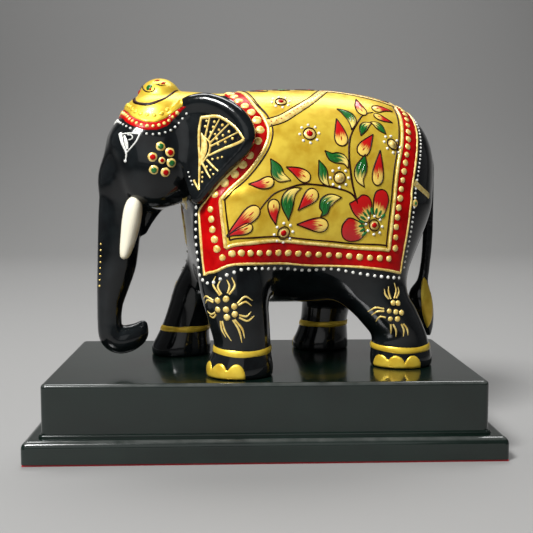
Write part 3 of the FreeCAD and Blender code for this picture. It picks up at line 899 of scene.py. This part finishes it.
lacquer = painted(
    "black_lacquer", ((0.35, (0.0025, 0.003, 0.0035)), (0.65, (0.006, 0.008, 0.009))), 9, (0.1, 0.22),
    coat=0.6, depth=0.1, bump_grain=5, specular=0.15,
)
gold = painted(
    "gold_paint", ((0.3, (0.68, 0.42, 0.025)), (0.62, (0.84, 0.61, 0.06))), 7, (0.3, 0.42), 0.4,
    coat=0.12, depth=0.04, bump_grain=1.8, specular=0.35,
)
pale_gold = painted(
    "pale_gold_paint", ((0.35, (0.72, 0.47, 0.09)), (0.6, (0.93, 0.74, 0.26))), 1.6, (0.28, 0.42), 0.2,
    coat=0.3, depth=0.04,
)
red = painted(
    "red_paint", ((0.35, (0.32, 0.0005, 0.001)), (0.65, (0.52, 0.0015, 0.002))), 7, (0.25, 0.36),
    coat=0.05, specular=0.12,
)
green = painted(
    "green_paint", ((0.35, (0.004, 0.09, 0.012)), (0.65, (0.01, 0.17, 0.03))), 1, (0.15, 0.25), coat=0.5,
)
white = painted(
    "white_paint", ((0.35, (0.62, 0.62, 0.56)), (0.6, (0.86, 0.86, 0.82))), 0.8, (0.25, 0.4),
)
dark = painted(
    "dark_paint", ((0.35, (0.008, 0.002, 0.001)), (0.65, (0.04, 0.007, 0.003))), 2, (0.35, 0.5),
    specular=0.15,
)
red_to_gold = feathered("red_to_gold_paint", (0.52, 0.003, 0.003), (0.88, 0.62, 0.12), 0.82)
green_to_gold = feathered("green_to_gold_paint", (0.005, 0.12, 0.014), (0.88, 0.68, 0.16), 0.78)

# ---------- the carved body

points, faces = carve()
points = relax(points, faces, 2)
corners = points[faces]
if np.einsum("ij,ij->i", corners[:, 0], np.cross(corners[:, 1], corners[:, 2])).sum() < 0:
    faces = faces[:, ::-1]
point_normals = vertex_normals(points, faces)
CARVING = BVHTree.FromPolygons(points.tolist(), faces.tolist())

body = new_piece("carved_body", points, faces, lacquer)
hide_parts("elephant_carving")

# ---------- tusks

TUSK = (
    # down from the root, radius
    (-1.8, 0.2), (-1.3, 1.7), (0, 2.9), (2, 3.7), (5, 4.15), (10, 4.15), (15, 3.7), (20, 3.1),
    (23.4, 2.4), (25.2, 1.6), (25.9, 0.2),
)
TUSK_ROOT = (-73.4, 14.4, 76.5)
TUSK_LEAN = math.radians(6.5)
TUSK_BEND = 1.6
TUSK_LENGTH = 26
TUSK_SIDES = 28


def tusk_material():
    """Ivory paint, darker where the along attribute is high: painted shade on each tusk's rear side, and
    brown staining towards its tip.
    """
    material = plain_material("ivory_shade_and_stain", (0.86, 0.82, 0.68), 0.3, coat=0.3)
    stops = ((0.36, (0.86, 0.81, 0.64)), (0.9, (0.2, 0.11, 0.03)), (0.62, (0.62, 0.5, 0.26)))
    level = along_plus_noise(material, noise(material, 2.5, 5.0, (1, 1, 0.4)), 0.38)
    shade(material, {"Base Color": ramp(material, level, stops)})
    bump(material, noise(material, 1.5), 0.06)
    return material


def carve_tusk(name, side):
    rows = spread(TUSK, 34)
    x0, y0, z0 = TUSK_ROOT
    places, shade_and_stain = [], []
    for down, radius in rows:
        bend = TUSK_BEND * max(down / TUSK_LENGTH, 0) ** 2
        lean = down * math.sin(TUSK_LEAN) + bend
        centre = np.array([x0 - lean, side * y0, z0 - down * math.cos(TUSK_LEAN)])
        for angle in np.arange(TUSK_SIDES) * 2 * math.pi / TUSK_SIDES:
            reach = max(radius, 0.05) * (1 + 0.02 * math.cos(5 * angle + down * 0.1))
            places.append(centre + reach * np.array([math.cos(angle), math.sin(angle), 0]))
            # painted shade: the first term darkens the tusk's rear side (cos(angle) > 0 faces backwards); the
            # second is brown staining towards the tip
            shade_and_stain.append(0.42 * max(math.cos(angle), 0) ** 1.5 + 0.22 * max((down - 17) / 9, 0))
    last = (len(rows) - 1) * TUSK_SIDES
    ends = [tuple(range(TUSK_SIDES))[::-1], tuple(range(last, last + TUSK_SIDES))]
    shape_faces = [face[::-1] for face in strips(len(rows), TUSK_SIDES, closed=True) + ends]
    piece = new_piece(name, places, shape_faces, ivory, {"along": shade_and_stain, "across": shade_and_stain})
    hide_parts("tusk_left" if side < 0 else "tusk_right")


ivory = tusk_material()
carve_tusk("carved_tusk_left", -1)
carve_tusk("carved_tusk_right", 1)

# ---------- the blanket

# Places on it are given as on the cloth: along the body, down from the spine.


def joined(*runs, step=1.0):
    """Smooth runs joined at sharp corners."""
    lines = [smooth_path(run, step) for run in runs]
    return np.concatenate([lines[0]] + [line[1:] for line in lines[1:]])


def inset(line, by):
    """A line moved towards the middle of the blanket."""
    return line - sideways(line) * by


def both_flanks(half):
    """A closed outline over the back from the half of it on one flank."""
    return np.concatenate([half * (1, -1), half[::-1][1:-1]])


FRONT_TOP = (
    (-32, 0), (-31.5, 12), (-28.5, 24), (-26, 34), (-25, 42), (-27, 49), (-33, 53.5), (-40, 56), (-47, 58),
)
FRONT = ((-47, 58), (-47, 66), (-46, 76))
HEM = ((-46, 76), (-40.5, 83.4), (-28, 92.4), (-12.5, 100.3), (7.5, 103.8), (26.5, 101.4), (43.3, 99.2))
REAR = ((43.3, 99.2), (46, 80.5), (48.5, 60), (52.5, 41), (55, 28), (56.5, 12), (57, 0))
OUTER = joined(FRONT_TOP, FRONT, HEM, REAR)
OUTER_OUTLINE = both_flanks(OUTER)

PANEL = joined(
    ((-24.5, 0), (-24, 12), (-22, 26), (-19, 34.5), (-18, 42.5), (-21.5, 50.5), (-29.5, 58.5), (-39.5, 62.5)),
    ((-39.5, 62.5), (-39, 70), (-37.8, 81)),
    ((-37.8, 81), (-25, 87), (-7, 91.5), (8, 94), (20, 95), (36.5, 93)),
    ((36.5, 93), (38, 77.5), (40.5, 57.5), (44.5, 42.5), (47.2, 28), (48.2, 12), (48.5, 0)),
)
PANEL_OUTLINE = both_flanks(PANEL)


def in_panel(x, drop):
    return polygon_distance(x, drop, PANEL_OUTLINE)


def in_border(x, drop):
    return np.maximum(polygon_distance(x, drop, OUTER_OUTLINE), -in_panel(x, drop))


CLOTH_THICK = 0.32
PAINT_THICK = 0.33
CLOTH_LOW, CLOTH_HIGH = (-50, -109), (60, 109)
border, field = Coat(), Coat()
border.sheet(cloth(0), in_border, CLOTH_LOW, CLOTH_HIGH, 1.0, CLOTH_THICK)
field.sheet(cloth(0), in_panel, CLOTH_LOW, CLOTH_HIGH, 1.0, CLOTH_THICK)
border.piece("blanket_border", red)
field.piece("blanket_field", gold)

BORDER_DOTS = (
    # path, spacing, radius
    (((-29, 5), (-28, 18.5), (-24, 29), (-21.2, 39), (-23.5, 47.5)), 5.2, 2.0),
    (((-26.5, 50.5), (-32, 55.5), (-38, 57.6), (-42, 59.4)), 4.25, 1.85),
    (((-42.9, 62.6), (-42.4, 70.5), (-41, 77.6)), 3.75, 1.65),
    (((-39, 82), (-25, 90.5), (-11.5, 95.5), (9, 98.4), (23.5, 98), (38.8, 95.4)), 4.65, 1.55),
    (((39.4, 91), (39.7, 80), (43.2, 58.5), (48.7, 36), (52.2, 15), (52.7, 2)), 4.4, 1.45),
)
WHITE_ROW = (
    # down the chest beside the cloth, then back along its hem
    (-48, -24, 73.5), (-48.2, -26.3, 64.6), (-48.2, -27.3, 56), (-47.5, -28.5, 48.3), (-47.2, -29.6, 44),
    (-44.6, -35, 41.3), (-40.3, -38.2, 43.3), (-37.3, -39.1, 45.2), (-33.5, -39.6, 46.5),
    (-29.7, -39.4, 47.4), (-20, -36.8, 47.3), (-2.2, -33.3, 45.9), (11.2, -35, 46.2), (20, -37, 44.6),
    (33.5, -38.7, 42.5), (44, -35.2, 41.4),
)
RED_ROSETTES = ((0, 44.5, 3.0), (-9.5, 25.5, 2.7), (-12.5, 86.5, 2.8), (28.5, 84, 2.6))
GOLD_ROSETTES = ((12, 64.5, 2.8), (38.5, 46, 2.6))
BUDS = (
    # tip to round end, width
    (((13.5, 37), (14, 44.5), (14, 50.5)), 7), (((27, 21.5), (26.5, 28), (27.5, 33.5)), 5.6),
    (((29.5, 43.5), (25.5, 49), (22, 54)), 6.8), (((32, 50.5), (30.5, 59), (29.5, 66.5)), 6.4),
    (((-11.5, 58.5), (-6, 61.5), (-1.5, 65)), 6.2), (((-27.5, 62.5), (-22.5, 64), (-17, 63.5)), 5.8),
    (((41, 34), (36.5, 33.5), (32.5, 32)), 4.2), (((43.5, 25.5), (38, 26), (33, 28.5)), 5.6),
    (((-16, 82.5), (-17, 77.5), (-17, 71.5)), 6), (((-6.5, 77.5), (-2.5, 73.5), (1.5, 69.5)), 7),
    (((-7, 83.5), (-0.5, 84), (7, 85)), 7.4),
    (((-37, 77.5), (-30.5, 76.5), (-23.5, 73.5)), 7.2), (((-37, 77.8), (-31, 79.5), (-26.3, 80)), 5.2),
    (((-20, 10), (-12, 11)), 4.4), (((2, 8), (11, 8)), 4.4),
)
LEAVES = (
    # green head to tail, width
    (((-18, 54), (-16, 58), (-14.5, 62), (-9.5, 64.5)), 5.2),
    (((3, 56.5), (4.5, 61), (5, 65), (7.5, 68.5)), 4),
    (((6, 52.5), (9, 55.5), (12.5, 56), (15, 57.5), (16, 60.5)), 4.6),
    (((15, 31), (18, 33), (20.5, 36), (20.5, 39.5), (19.5, 42.5)), 4.4),
    (((23.5, 45), (26, 40), (30, 37.5)), 3.6), (((36, 42), (33, 38.5), (29.5, 37)), 3.6),
    (((24.5, 53.5), (23, 58), (21.5, 62), (21.5, 65), (23.5, 68)), 5.4),
    (((-10.5, 81.5), (-11, 76), (-11, 72.5), (-9, 69.5), (-5, 68)), 5.4),
    (((3.5, 81), (5.5, 79), (5.5, 75.5), (8.5, 73.5), (13, 73)), 5.4), (((-9, 9), (-1, 10)), 3.6),
)
PETALS = (
    ((16.5, 75.5), (20, 73.5), (22.5, 71.5), (25.5, 72), (27, 75), (26.5, 79), (25.5, 83), (22, 82.5),
     (18.5, 79.5)),
    ((28, 72.5), (29, 69.5), (31.5, 68), (34, 68.5), (35.2, 71.5), (34.5, 75), (33, 78.5), (30, 81),
     (28, 78)),
    ((18.5, 82), (16, 82), (13.5, 85.5), (14, 90), (17, 92), (21, 91.5), (23.5, 89.5), (24, 87), (22.5, 84)),
)
FLOWER = np.array(RED_ROSETTES[3][:2])
MAIN_STEM = ((20.3, 75.5), (18, 67.5), (17, 59.5), (17, 53), (18.5, 46), (23, 38.5), (27.5, 33), (32.5, 30.5))
LONG_STEM = (
    (20, 74), (17, 71), (11, 69), (4, 67.5), (-4, 66.5), (-10.5, 67.5), (-16.5, 69), (-20, 71.5), (-23, 74.5),
)
STEMS = ((MAIN_STEM, 1.0), (LONG_STEM, 0.9), (((-23, 15), (-21, 25), (-17, 34.5)), 0.6))
STRAP = ((-17.5, 37.5), (-11, 36), (-3.5, 31.3), (4.5, 25), (10, 18.5), (14.5, 11.5))
STRAP_BACK = ((14.5, 11.5), (22, 12.8), (31, 15.5), (40, 17), (47.5, 17))

hem_line, panel_line, blanket_lines, border_dots, strap = (Coat() for _ in range(5))
buds, leaves, petals, rosettes = (Coat() for _ in range(4))
gold_marks, dark_marks, red_marks, green_marks, white_marks = (Coat() for _ in range(5))


def rosette(lay, x, drop, radius, core):
    rosettes.dot(lay, (x, drop), radius * 0.86, 0.5)
    rim = circle(x, drop, radius * 0.94, np.linspace(0, 2 * math.pi, 17))
    blanket_lines.stroke(lay, rim, 0.55, 0.6, step=0.5)
    core.dot(lay, (x, drop), radius * 0.55, 0.95)
    for place in circle(x, drop, radius + 1.3, np.arange(8) * math.pi / 4):
        white_marks.dot(lay, place, 0.68, 0.55)


for side in SIDES:
    lay, upper = cloth(side, PAINT_THICK), cloth(side, PAINT_THICK + 0.2)
    hem_line.stroke(cloth(side, 0.1), inset(OUTER, 0.2), 1.25, 0.6, step=1.0)
    panel_line.stroke(lay, inset(PANEL, 0.3), 1.6, 0.42, step=1.0)
    blanket_lines.stroke(lay, inset(PANEL, 2.0), 0.85, 0.3, step=1.0)
    for path, spacing, radius in BORDER_DOTS:
        border_dots.dots(lay, evenly(path, spacing), radius, 0.55)
    white_marks.dots(Near(side), evenly(WHITE_ROW, 3.3), 0.82, 0.6)
    white_marks.dots(cloth(side), evenly(inset(joined(REAR), -2.0), 2.3, 3), 0.6, 0.5)
    for path, width in ((STRAP, 4.0), (STRAP_BACK, 2.8)):
        line = smooth_path(path)
        strap.stroke(lay, line, width, 0.42, step=0.9)
        for way in SIDES:
            blanket_lines.stroke(lay, line + sideways(line) * way * (width / 2 + 0.1), 0.6, 0.32)
        red_marks.dots(cloth(side, PAINT_THICK + 0.3), evenly(line, 2.4, 1.5), 0.4, 0.25)
    for path, width in STEMS:
        blanket_lines.stroke(lay, path, width, 0.36, ends=(1.1, 0.7))
    for path, width in BUDS:
        buds.leaf(lay, path, width, "bud", 0.26, (blanket_lines, 0.7))
        red_marks.stroke(upper, part_of(path, 0.64, 0.84), 0.8, 0.25, ends=(0.3, 0.6), step=0.5)
    for path, width in LEAVES:
        leaves.leaf(lay, path, width, "comma", 0.26, (blanket_lines, 0.6))
        vein = part_of(path, 0.3, 0.8)
        for way in SIDES:
            streak = vein + sideways(vein) * way * 0.16 * width
            green_marks.stroke(upper, streak, 0.7, 0.25, ends=(0.9, 0.2), step=0.5)
    for outline in PETALS:
        petals.fill(lay, outline, FLOWER)
        blanket_lines.stroke(lay, list(outline) + [outline[0]], 0.65, 0.36)
        away = np.mean(outline, axis=0) - FLOWER
        for turn in (-0.45, -0.15, 0.15, 0.45):
            bearing = math.atan2(away[1], away[0]) + turn
            spoke = [circle(*FLOWER, radius, [bearing])[0] for radius in (4.6, 7.6)]
            green_marks.stroke(cloth(side, PAINT_THICK + 0.25), spoke, 1.45, 0.25, ends=(0.4, 0.6), step=0.5)
    for x, drop, radius in RED_ROSETTES:
        rosette(lay, x, drop, radius, red_marks)
    for x, drop, radius in GOLD_ROSETTES:
        rosette(lay, x, drop, radius, rosettes)

for coat, name, material in (
    (hem_line, "blanket_hem", pale_gold), (panel_line, "blanket_panel_edge", pale_gold),
    (blanket_lines, "blanket_lines", dark), (border_dots, "blanket_border_dots", pale_gold),
    (strap, "blanket_strap", pale_gold), (buds, "blanket_buds", red_to_gold),
    (leaves, "blanket_leaves", green_to_gold), (petals, "blanket_petals", red_to_gold),
    (rosettes, "blanket_rosettes", pale_gold),
):
    coat.piece(name, material)

# ---------- the head

# CAP_, BAND_ and SLIT places are how far round from the front and how high, the others how far along
# and how high.
CAP_EDGE = np.array([
    (0, 117), (10.6, 115), (17.5, 112), (23, 110), (27.6, 110), (32, 112), (34.8, 114.5), (37, 116.5),
    (42, 118.5), (63, 119),
])
BAND_EDGE = np.array([
    (0, 113.6), (10.5, 112), (17.9, 108.5), (23, 106.5), (27.8, 106.5), (32, 108.4), (35, 111.5),
    (37.4, 115), (39, 118), (63, 119),
])
CAP_DOTS = (
    (0, 115.4), (10.5, 113.6), (17.7, 110.3), (23, 108.3), (27.7, 108.3), (32, 110.1), (35, 113),
    (36.6, 115.2),
)
CAP_WHITE = (
    (0, 112), (10.5, 110.2), (18.5, 107), (23.5, 105), (28, 104.8), (33, 106.5), (36.6, 110), (38.6, 113.6),
)
CAP_SPACING = 2.3
SLIT = ((2, 121.6), (8, 120.6), (14, 118.9), (22.7, 117.8), (29, 119.4), (36, 122), (43, 124.4), (49, 125.2))
NECK_GOLD = np.array([(-58, 18.5), (-53, 16.5), (-49, 13), (-44, 10), (-38, 8.5)])  # along, half width
CHEEK_CENTRE = (-62.5, 93.5)
CHEEK = ((-63, 99.5, 1), (-59, 97, 0), (-66.5, 95, 0), (-58.5, 92.5, 1), (-66, 89.5, 1), (-61, 88.5, 0))


def head_run(x, y):
    return HEAD_ROUND * np.arctan2(np.abs(y), HEAD_AXIS - x)


def cap_region(x, y, z):
    dome = np.maximum(read(CAP_EDGE, head_run(x, y))[0] - z, x + 53)
    half_width = read(NECK_GOLD, x)[0]
    neck = np.maximum(np.maximum(np.abs(y) - half_width, 114.5 - z), np.maximum(x + 30.5, -56 - x))
    return np.minimum(dome, neck)


def band_region(x, y, z):
    run = head_run(x, y)
    across = np.maximum(z - read(CAP_EDGE, run)[0], read(BAND_EDGE, run)[0] - z)
    return np.maximum(across, np.maximum(run - 39.5, x + 45))


CAP_BEADS = ((1, 118.6), (9.5, 117.4), (17, 114.6), (23, 113), (28.5, 113.2), (33.5, 115.8))
cap, cap_band = Coat(), Coat()
cap.patch(cap_region, 0.35)
for side in SIDES:
    cap.dots(round_head(side, 0.3), evenly(CAP_BEADS, 3.3), 1.15, 0.55)
cap_band.patch(band_region, 0.3)
cap.piece("cap_gold", gold)
cap_band.piece("cap_band", red)

EAR_LINES = (
    (((-45.7, 111.8), (-40, 112.2), (-36.5, 110.4), (-33, 107), (-30.3, 102)), 1.5),
    (((-45.6, 112), (-46.6, 107), (-47, 100), (-47, 93.5), (-47.8, 81)), 1.2),
    (((-30.4, 102), (-32.8, 100.4), (-38, 98.2), (-43.4, 95.6)), 1.4),
    (((-49.6, 85.2), (-47.9, 80.8)), 1.1), (((-46, 92.4), (-43.4, 86)), 1.05),
    (((-44.2, 93.8), (-40.3, 88.8)), 1.05), (((-44.4, 103.6), (-42.4, 111.6)), 0.9),
    (((-43.2, 102.6), (-38.6, 111)), 0.9),
    (((-42.6, 101), (-35.2, 108.8)), 0.9), (((-42.6, 99.4), (-32, 105.2)), 0.9),
    (((-45, 103.6), (-42.8, 101), (-43.4, 96.5), (-46.6, 91.6)), 1.0),
)
EAR_DOTS = (
    (-44.2, 108), (-43.6, 110.3), (-42.2, 105.4), (-41.2, 107.6), (-40.6, 109.9), (-40.6, 104.6),
    (-39, 106.4), (-37.6, 108.4), (-40, 102.6), (-37.6, 104), (-35.2, 105.6), (-39.6, 100.2),
    (-36.8, 101.2), (-34, 102.6),
)
EAR_LEAF = ((-45.9, 105.5), (-44.9, 100), (-46.6, 91.8))
EAR_WHITE = ((-51.6, 88.5), (-51.2, 86.6), (-50.6, 84.8), (-50.2, 83.2))
EAR_LOW_DOTS = (
    (-42, 94), (-40, 94.4), (-38.4, 94.8), (-44.4, 90.8), (-43, 89.4), (-42.2, 87.6),
    (-46.2, 88.4), (-46.2, 86.4), (-46.4, 84.4),
)
DOME_SPOT = (-65, 126)
DOME_DROPS = (
    ((-68.8, 123.6), (-67.9, 125.6)), ((-68.3, 126.6), (-67.2, 128.2)), ((-62.6, 128.8), (-60.2, 129.3)),
    ((-60.2, 127.4), (-58, 128.2)),
)
DOME_CURLS = (((-63.4, 130), (-61.4, 130.6), (-59.2, 130)), ((-62.6, 127.4), (-60.6, 126.6), (-58.2, 127)))
FOREHEAD_LEAF = (
    # path, width, height, width at its ends, step
    (((-79.1, 104.8), (-75.5, 105.2), (-71, 104.8)), 0.7, 0.3, (1, 1), 0.5),
    (((-71, 105.4), (-73, 101.5), (-76.7, 97)), 0.8, 0.35, (1, 1), 0.8),
    (((-79.1, 105.3), (-78.4, 101), (-77, 97), (-77.2, 93.8)), 1.5, 0.4, (1.3, 0.5), 0.8),
    (((-77.6, 104.2), (-76.9, 101.2), (-76.5, 98.4)), 2.0, 0.35, (0.5, 0.5), 0.8),
    (((-76.3, 104.5), (-74.6, 104.3), (-74.4, 102.9), (-75.8, 102.3)), 0.6, 0.35, (1, 1), 0.4),
)
NECK_STRAP = ((-51.7, -16.6, 78.6), (-50.7, -11.5, 75.6), (-49.3, -4, 72.6))
TRUNK_FLECKS = ((-87, -4, 57), (-87.3, -3.8, 48), (-87.9, -3, 37))
for side in SIDES:
    # the right side's rows start half a spacing on, so that no dot is laid twice at the front
    shift = 0 if side < 0 else CAP_SPACING / 2
    gold_marks.dots(round_head(side, 0.3), evenly(CAP_DOTS, CAP_SPACING, shift), 0.85, 0.5)
    white_marks.dots(round_head(side), evenly(CAP_WHITE, CAP_SPACING, shift), 0.6, 0.5)
    lay, dome = flank(side), flank(side, 0.36)
    dark_marks.stroke(round_head(side, 0.36), SLIT, 1.9, 0.25, ends=(0.9, 0.3))
    green_marks.dot(dome, DOME_SPOT, 1.6, 0.6)
    dark_marks.stroke(dome, circle(*DOME_SPOT, 2.2, np.linspace(0.3, 6.1, 16)), 0.7, 0.35, step=0.5)
    for path in DOME_DROPS:
        red_marks.stroke(dome, path, 1.9, 0.45, ends=(0.3, 0.3), step=0.4)
    for path in DOME_CURLS:
        dark_marks.stroke(dome, path, 0.5, 0.4, ends=(0.4, 0.4), step=0.4)

    for x, z, is_green in CHEEK:
        gold_marks.dot(lay, (x, z), 2.15, 0.6)
        (green_marks if is_green else red_marks).dot(flank(side, 0.5), (x + 0.1, z - 0.1), 1.3, 0.3)
    gold_marks.dot(lay, CHEEK_CENTRE, 1.55, 0.55)
    red_marks.dot(flank(side, 0.45), CHEEK_CENTRE, 0.9, 0.3)
    for stroke in FOREHEAD_LEAF:
        white_marks.stroke(lay, *stroke)
    white_marks.dot(lay, (-77.3, 93.3), 0.75, 0.5)
    for path, width in EAR_LINES:
        gold_marks.stroke(lay, path, width, 0.45, ends=(1, 0.7))
    gold_marks.leaf(lay, EAR_LEAF, 2.8, "leaf")
    gold_marks.dots(lay, EAR_DOTS, 0.65, 0.45)
    gold_marks.dots(lay, EAR_LOW_DOTS, 0.58, 0.4)
    white_marks.dots(lay, EAR_WHITE, 0.45, 0.35)
    gold_marks.stroke(Near(side), NECK_STRAP, 2.4, 0.35, step=0.6)
    gold_marks.dots(Near(side), evenly(TRUNK_FLECKS, 2.7), 0.5, 0.35)

# ---------- the tail and the legs

LEG_FLOWER = ((-3, 3.8), (0.8, 4.6), (3.8, 1.4), (-3.8, -0.2), (0, 0), (3.4, -2), (-0.4, -3.4))
HIND_FLOWER = ((-3.2, 0.5), (0, 0), (2.9, -0.5), (-0.7, 4.1), (1.8, 3.8), (-3, -3.2), (0.4, -3.3))
FRONDS = (
    ((-1.5, 6), (-4, 10.5), (-2.6, 14)), ((-0.8, 6.5), (-2, 9.6), (-0.6, 12.6)),
    ((2.4, 6.5), (5, 10), (4, 13.6)), ((1.8, 7), (2.8, 10), (1.9, 12.6)),
    ((5.4, 2.6), (9, 5.4), (12.4, 3.6)), ((5.6, 1.8), (9, 3.2), (11.6, 1.4)),
    ((5, -3.4), (8.6, -5), (12.4, -3)), ((5.2, -2.4), (8.6, -3), (11, -1.2)),
    ((2, -4.4), (4, -9), (4.4, -14.4)), ((2.8, -4.2), (5.6, -8.4), (6, -12.4)),
    ((-3, -5), (-2.6, -9.6), (-0.6, -13.6)), ((-3.8, -5), (-4.2, -9), (-3, -12.2)),
    ((-5, 3.6), (-8.4, 5.2), (-11, 3.6)), ((-5, 2.8), (-8, 3.6), (-10, 2)),
    ((-5.2, -1.4), (-8, -2.6), (-10.4, -1.4)), ((-5, -2.2), (-7.4, -4), (-9.6, -3.2)),
)
HIND_LEAN = 0.55  # sets the pattern upright, because the hind legs lean
HIND_FRONDS = (
    ((-2.8, 6), (-4.8, 8), (-5, 10.5)), ((-1.8, 6), (-3.4, 9), (-2.8, 11.6)), ((0, 6), (0.6, 9.5), (0.4, 13)),
    ((1, 6), (2.2, 8.5), (2, 11)), ((-5.5, 1.5), (-9, 2), (-12.5, 0)),
    ((-5.5, 0.4), (-8.5, 0.2), (-11, -1.6)), ((-5, -2.5), (-7.5, -2.2), (-9.5, -4.5)),
    ((-2, -5.5), (-0.8, -8.5), (-1, -11.5)), ((-3, -5.5), (-3, -8), (-3.4, -10.5)),
    ((3, -5.5), (4.8, -8), (5, -11)), ((2, -5.5), (3, -8.5), (2.6, -11.5)),
)
NAIL_HALF_WIDTH = 4.3
LEGS = (
    # stations, side, flower centre, dot radius, fronds, ankle height, nail places, nail height
    (FORE_LEFT_LEG, -1, (13, 30.5), 1.45, FRONDS, 11.6, (0.5, 8, 15.5), 6.4),
    (FORE_RIGHT_LEG, 1, (13, 30.5), 1.45, FRONDS, 12.6, (8, 15.5, 23), 6.4),
    (HIND_LEFT_LEG, -1, (21.5, 26.5), 1.3, HIND_FRONDS, 9.0, (5.8, 12.9, 20.8), 5.6),
    (HIND_RIGHT_LEG, 1, (21.5, 26.5), 1.3, HIND_FRONDS, 12.8, (8, 15.2, 23), 5.6),
)
HALF_ROUND = math.pi * LEG_ROUND
ANKLE_BAND = np.array([(-HALF_ROUND, 0.6), (-20, 0.7), (0, 0.5), (20, -0.6), (HALF_ROUND, 0.6)])
ankles, nails = Coat(), Coat()
for stations, side, (along, high), size, fronds, ankle, nail_places, nail_high in LEGS:
    lay = round_leg(stations, side)
    flower, lean = (LEG_FLOWER, 0) if fronds is FRONDS else (HIND_FLOWER, HIND_LEAN)
    gold_marks.dots(lay, [(along + x + z * lean, high + z) for x, z in flower], size, 0.55)
    for path in fronds:
        path = [(along + x + min(z, 9) * lean, high + z) for x, z in path]
        gold_marks.stroke(lay, path, 1.05, 0.3, ends=(0.9, 0.3), step=0.6)
    ankles.stroke(lay, ANKLE_BAND + (0, ankle), 2.9, 0.4, step=1.0)

    def nail_region(run, z):
        lobes = [np.hypot((run - place) / NAIL_HALF_WIDTH, (z - 0.6) / nail_high) for place in nail_places]
        return np.maximum((np.minimum.reduce(lobes) - 1) * NAIL_HALF_WIDTH, 0.35 - z)

    nails.sheet(lay, nail_region, (-6, 0), (30, 9), 0.6, 0.35)

RUMP_STROKE = ((49.5, 84.6), (54, 81.6), (60, 78.4))
RUMP_SPOT = (49.8, 75)
TAIL_LEAF = ((70.8, 38), (71.8, 30), (72.6, 21.5), (73, 12.5))
tail_leaf = Coat()
for side in SIDES:
    lay = flank(side)
    gold_marks.stroke(lay, RUMP_STROKE, 3.0, 0.45)
    gold_marks.dot(lay, RUMP_SPOT, 1.9, 0.5)
    green_marks.dot(lay, RUMP_SPOT, 0.95, 0.85)
    tail_leaf.leaf(lay, TAIL_LEAF, 8.4, "leaf", 0.35)

for coat, name, material in (
    (ankles, "ankle_bands", gold), (nails, "toe_nails", gold), (gold_marks, "gold_marks", pale_gold),
    (dark_marks, "cap_lines", dark), (red_marks, "red_marks", red), (white_marks, "white_marks", white),
    (green_marks, "green_marks", green), (tail_leaf, "tail_leaf", gold),
):
    coat.piece(name, material)

# ---------- the base

base_black = painted(
    "base_black", ((0.35, (0.002, 0.0065, 0.0045)), (0.65, (0.004, 0.011, 0.008))), 25, (0.12, 0.2),
    coat=0.4, depth=0.015, bump_grain=0.7,
)
edges = [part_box(node)[1].z for node in ("plinth_block", "base_board")]
edge_wear(base_black, noise(base_black, 6, 6.0), edges, (0.09, 0.095, 0.09))
baize = painted(
    "baize", ((0.35, (0.3, 0.004, 0.012)), (0.65, (0.5, 0.01, 0.02))), 0.5, (0.85, 0.95), depth=0.2,
)
steel = painted("screw_steel", ((0.35, (0.4, 0.4, 0.39)), (0.65, (0.55, 0.55, 0.56))), 0.8, (0.28, 0.4), 1.0)
for node, piece in frame["nodes"].items():
    if node.startswith("tusk") or node == "elephant_carving":
        continue
    material = baize if node == "felt_pad" else steel if "screw" in node else base_black
    piece.data.materials.clear()
    piece.data.materials.append(material)

# ---------- studio

bpy.context.scene.view_settings.view_transform = "Standard"


def build_stage():
    """A pale floor that sweeps up into the backdrop."""
    bend = [(1.1 + 0.9 * math.sin(a), 0.9 - 0.9 * math.cos(a)) for a in np.radians(np.arange(0, 91, 5))]
    profile = [(-3.0, 0.0), (0.4, 0.0)] + bend + [(2.0, 3.0)]
    places = [(x, y, z) for x in (-3.0, 3.0) for y, z in profile]
    quads = [(k, k + len(profile), k + len(profile) + 1, k + 1) for k in range(len(profile) - 1)]
    pale_floor = plain_material("pale_floor", (0.27, 0.268, 0.263), 0.6)
    stage = add_object("stage", smooth_mesh("stage", places, quads, pale_floor))
    stage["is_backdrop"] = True


def area_light(name, location, target, size, power, spread_angle):
    light = bpy.data.lights.new(name, "AREA")
    light.shape = "RECTANGLE"
    light.size, light.size_y = size
    light.energy = power
    light.spread = math.radians(spread_angle)
    lamp = add_object(name, light)
    lamp.location = location
    lamp.rotation_euler = (Vector(target) - Vector(location)).to_track_quat("-Z", "Y").to_euler()


build_stage()
area_light("key", (-0.6, -0.75, 1.2), (0, 0, 0.1), (0.4, 0.4), 8, 90)
area_light("front", (-0.25, -1.2, 0.6), (0, 0, 0.1), (1.3, 0.9), 1, 120)
area_light("over", (0.0, 0.7, 1.5), (0, 0.5, 0.0), (1.4, 0.6), 9, 110)
area_light("wall", (0.0, 0.9, 1.5), (0, 1.9, 0.5), (2.0, 0.4), 7.5, 120)
world_light = bpy.data.worlds.new("studio")
world_light.use_nodes = True
background = world_light.node_tree.nodes["Background"]
background.inputs["Color"].default_value = (0.5, 0.5, 0.51, 1)
background.inputs["Strength"].default_value = 0.2
bpy.context.scene.world = world_light

camera_data = bpy.data.cameras.new("camera")
camera_data.sensor_width = 36
camera_data.lens = 58.67
camera = add_object("camera", camera_data)
camera.location = (-0.01416, -0.41361, 0.11316)
camera.rotation_euler = (math.radians(90 - 4.94), 0, math.radians(-2.22))
bpy.context.scene.camera = camera

low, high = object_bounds()
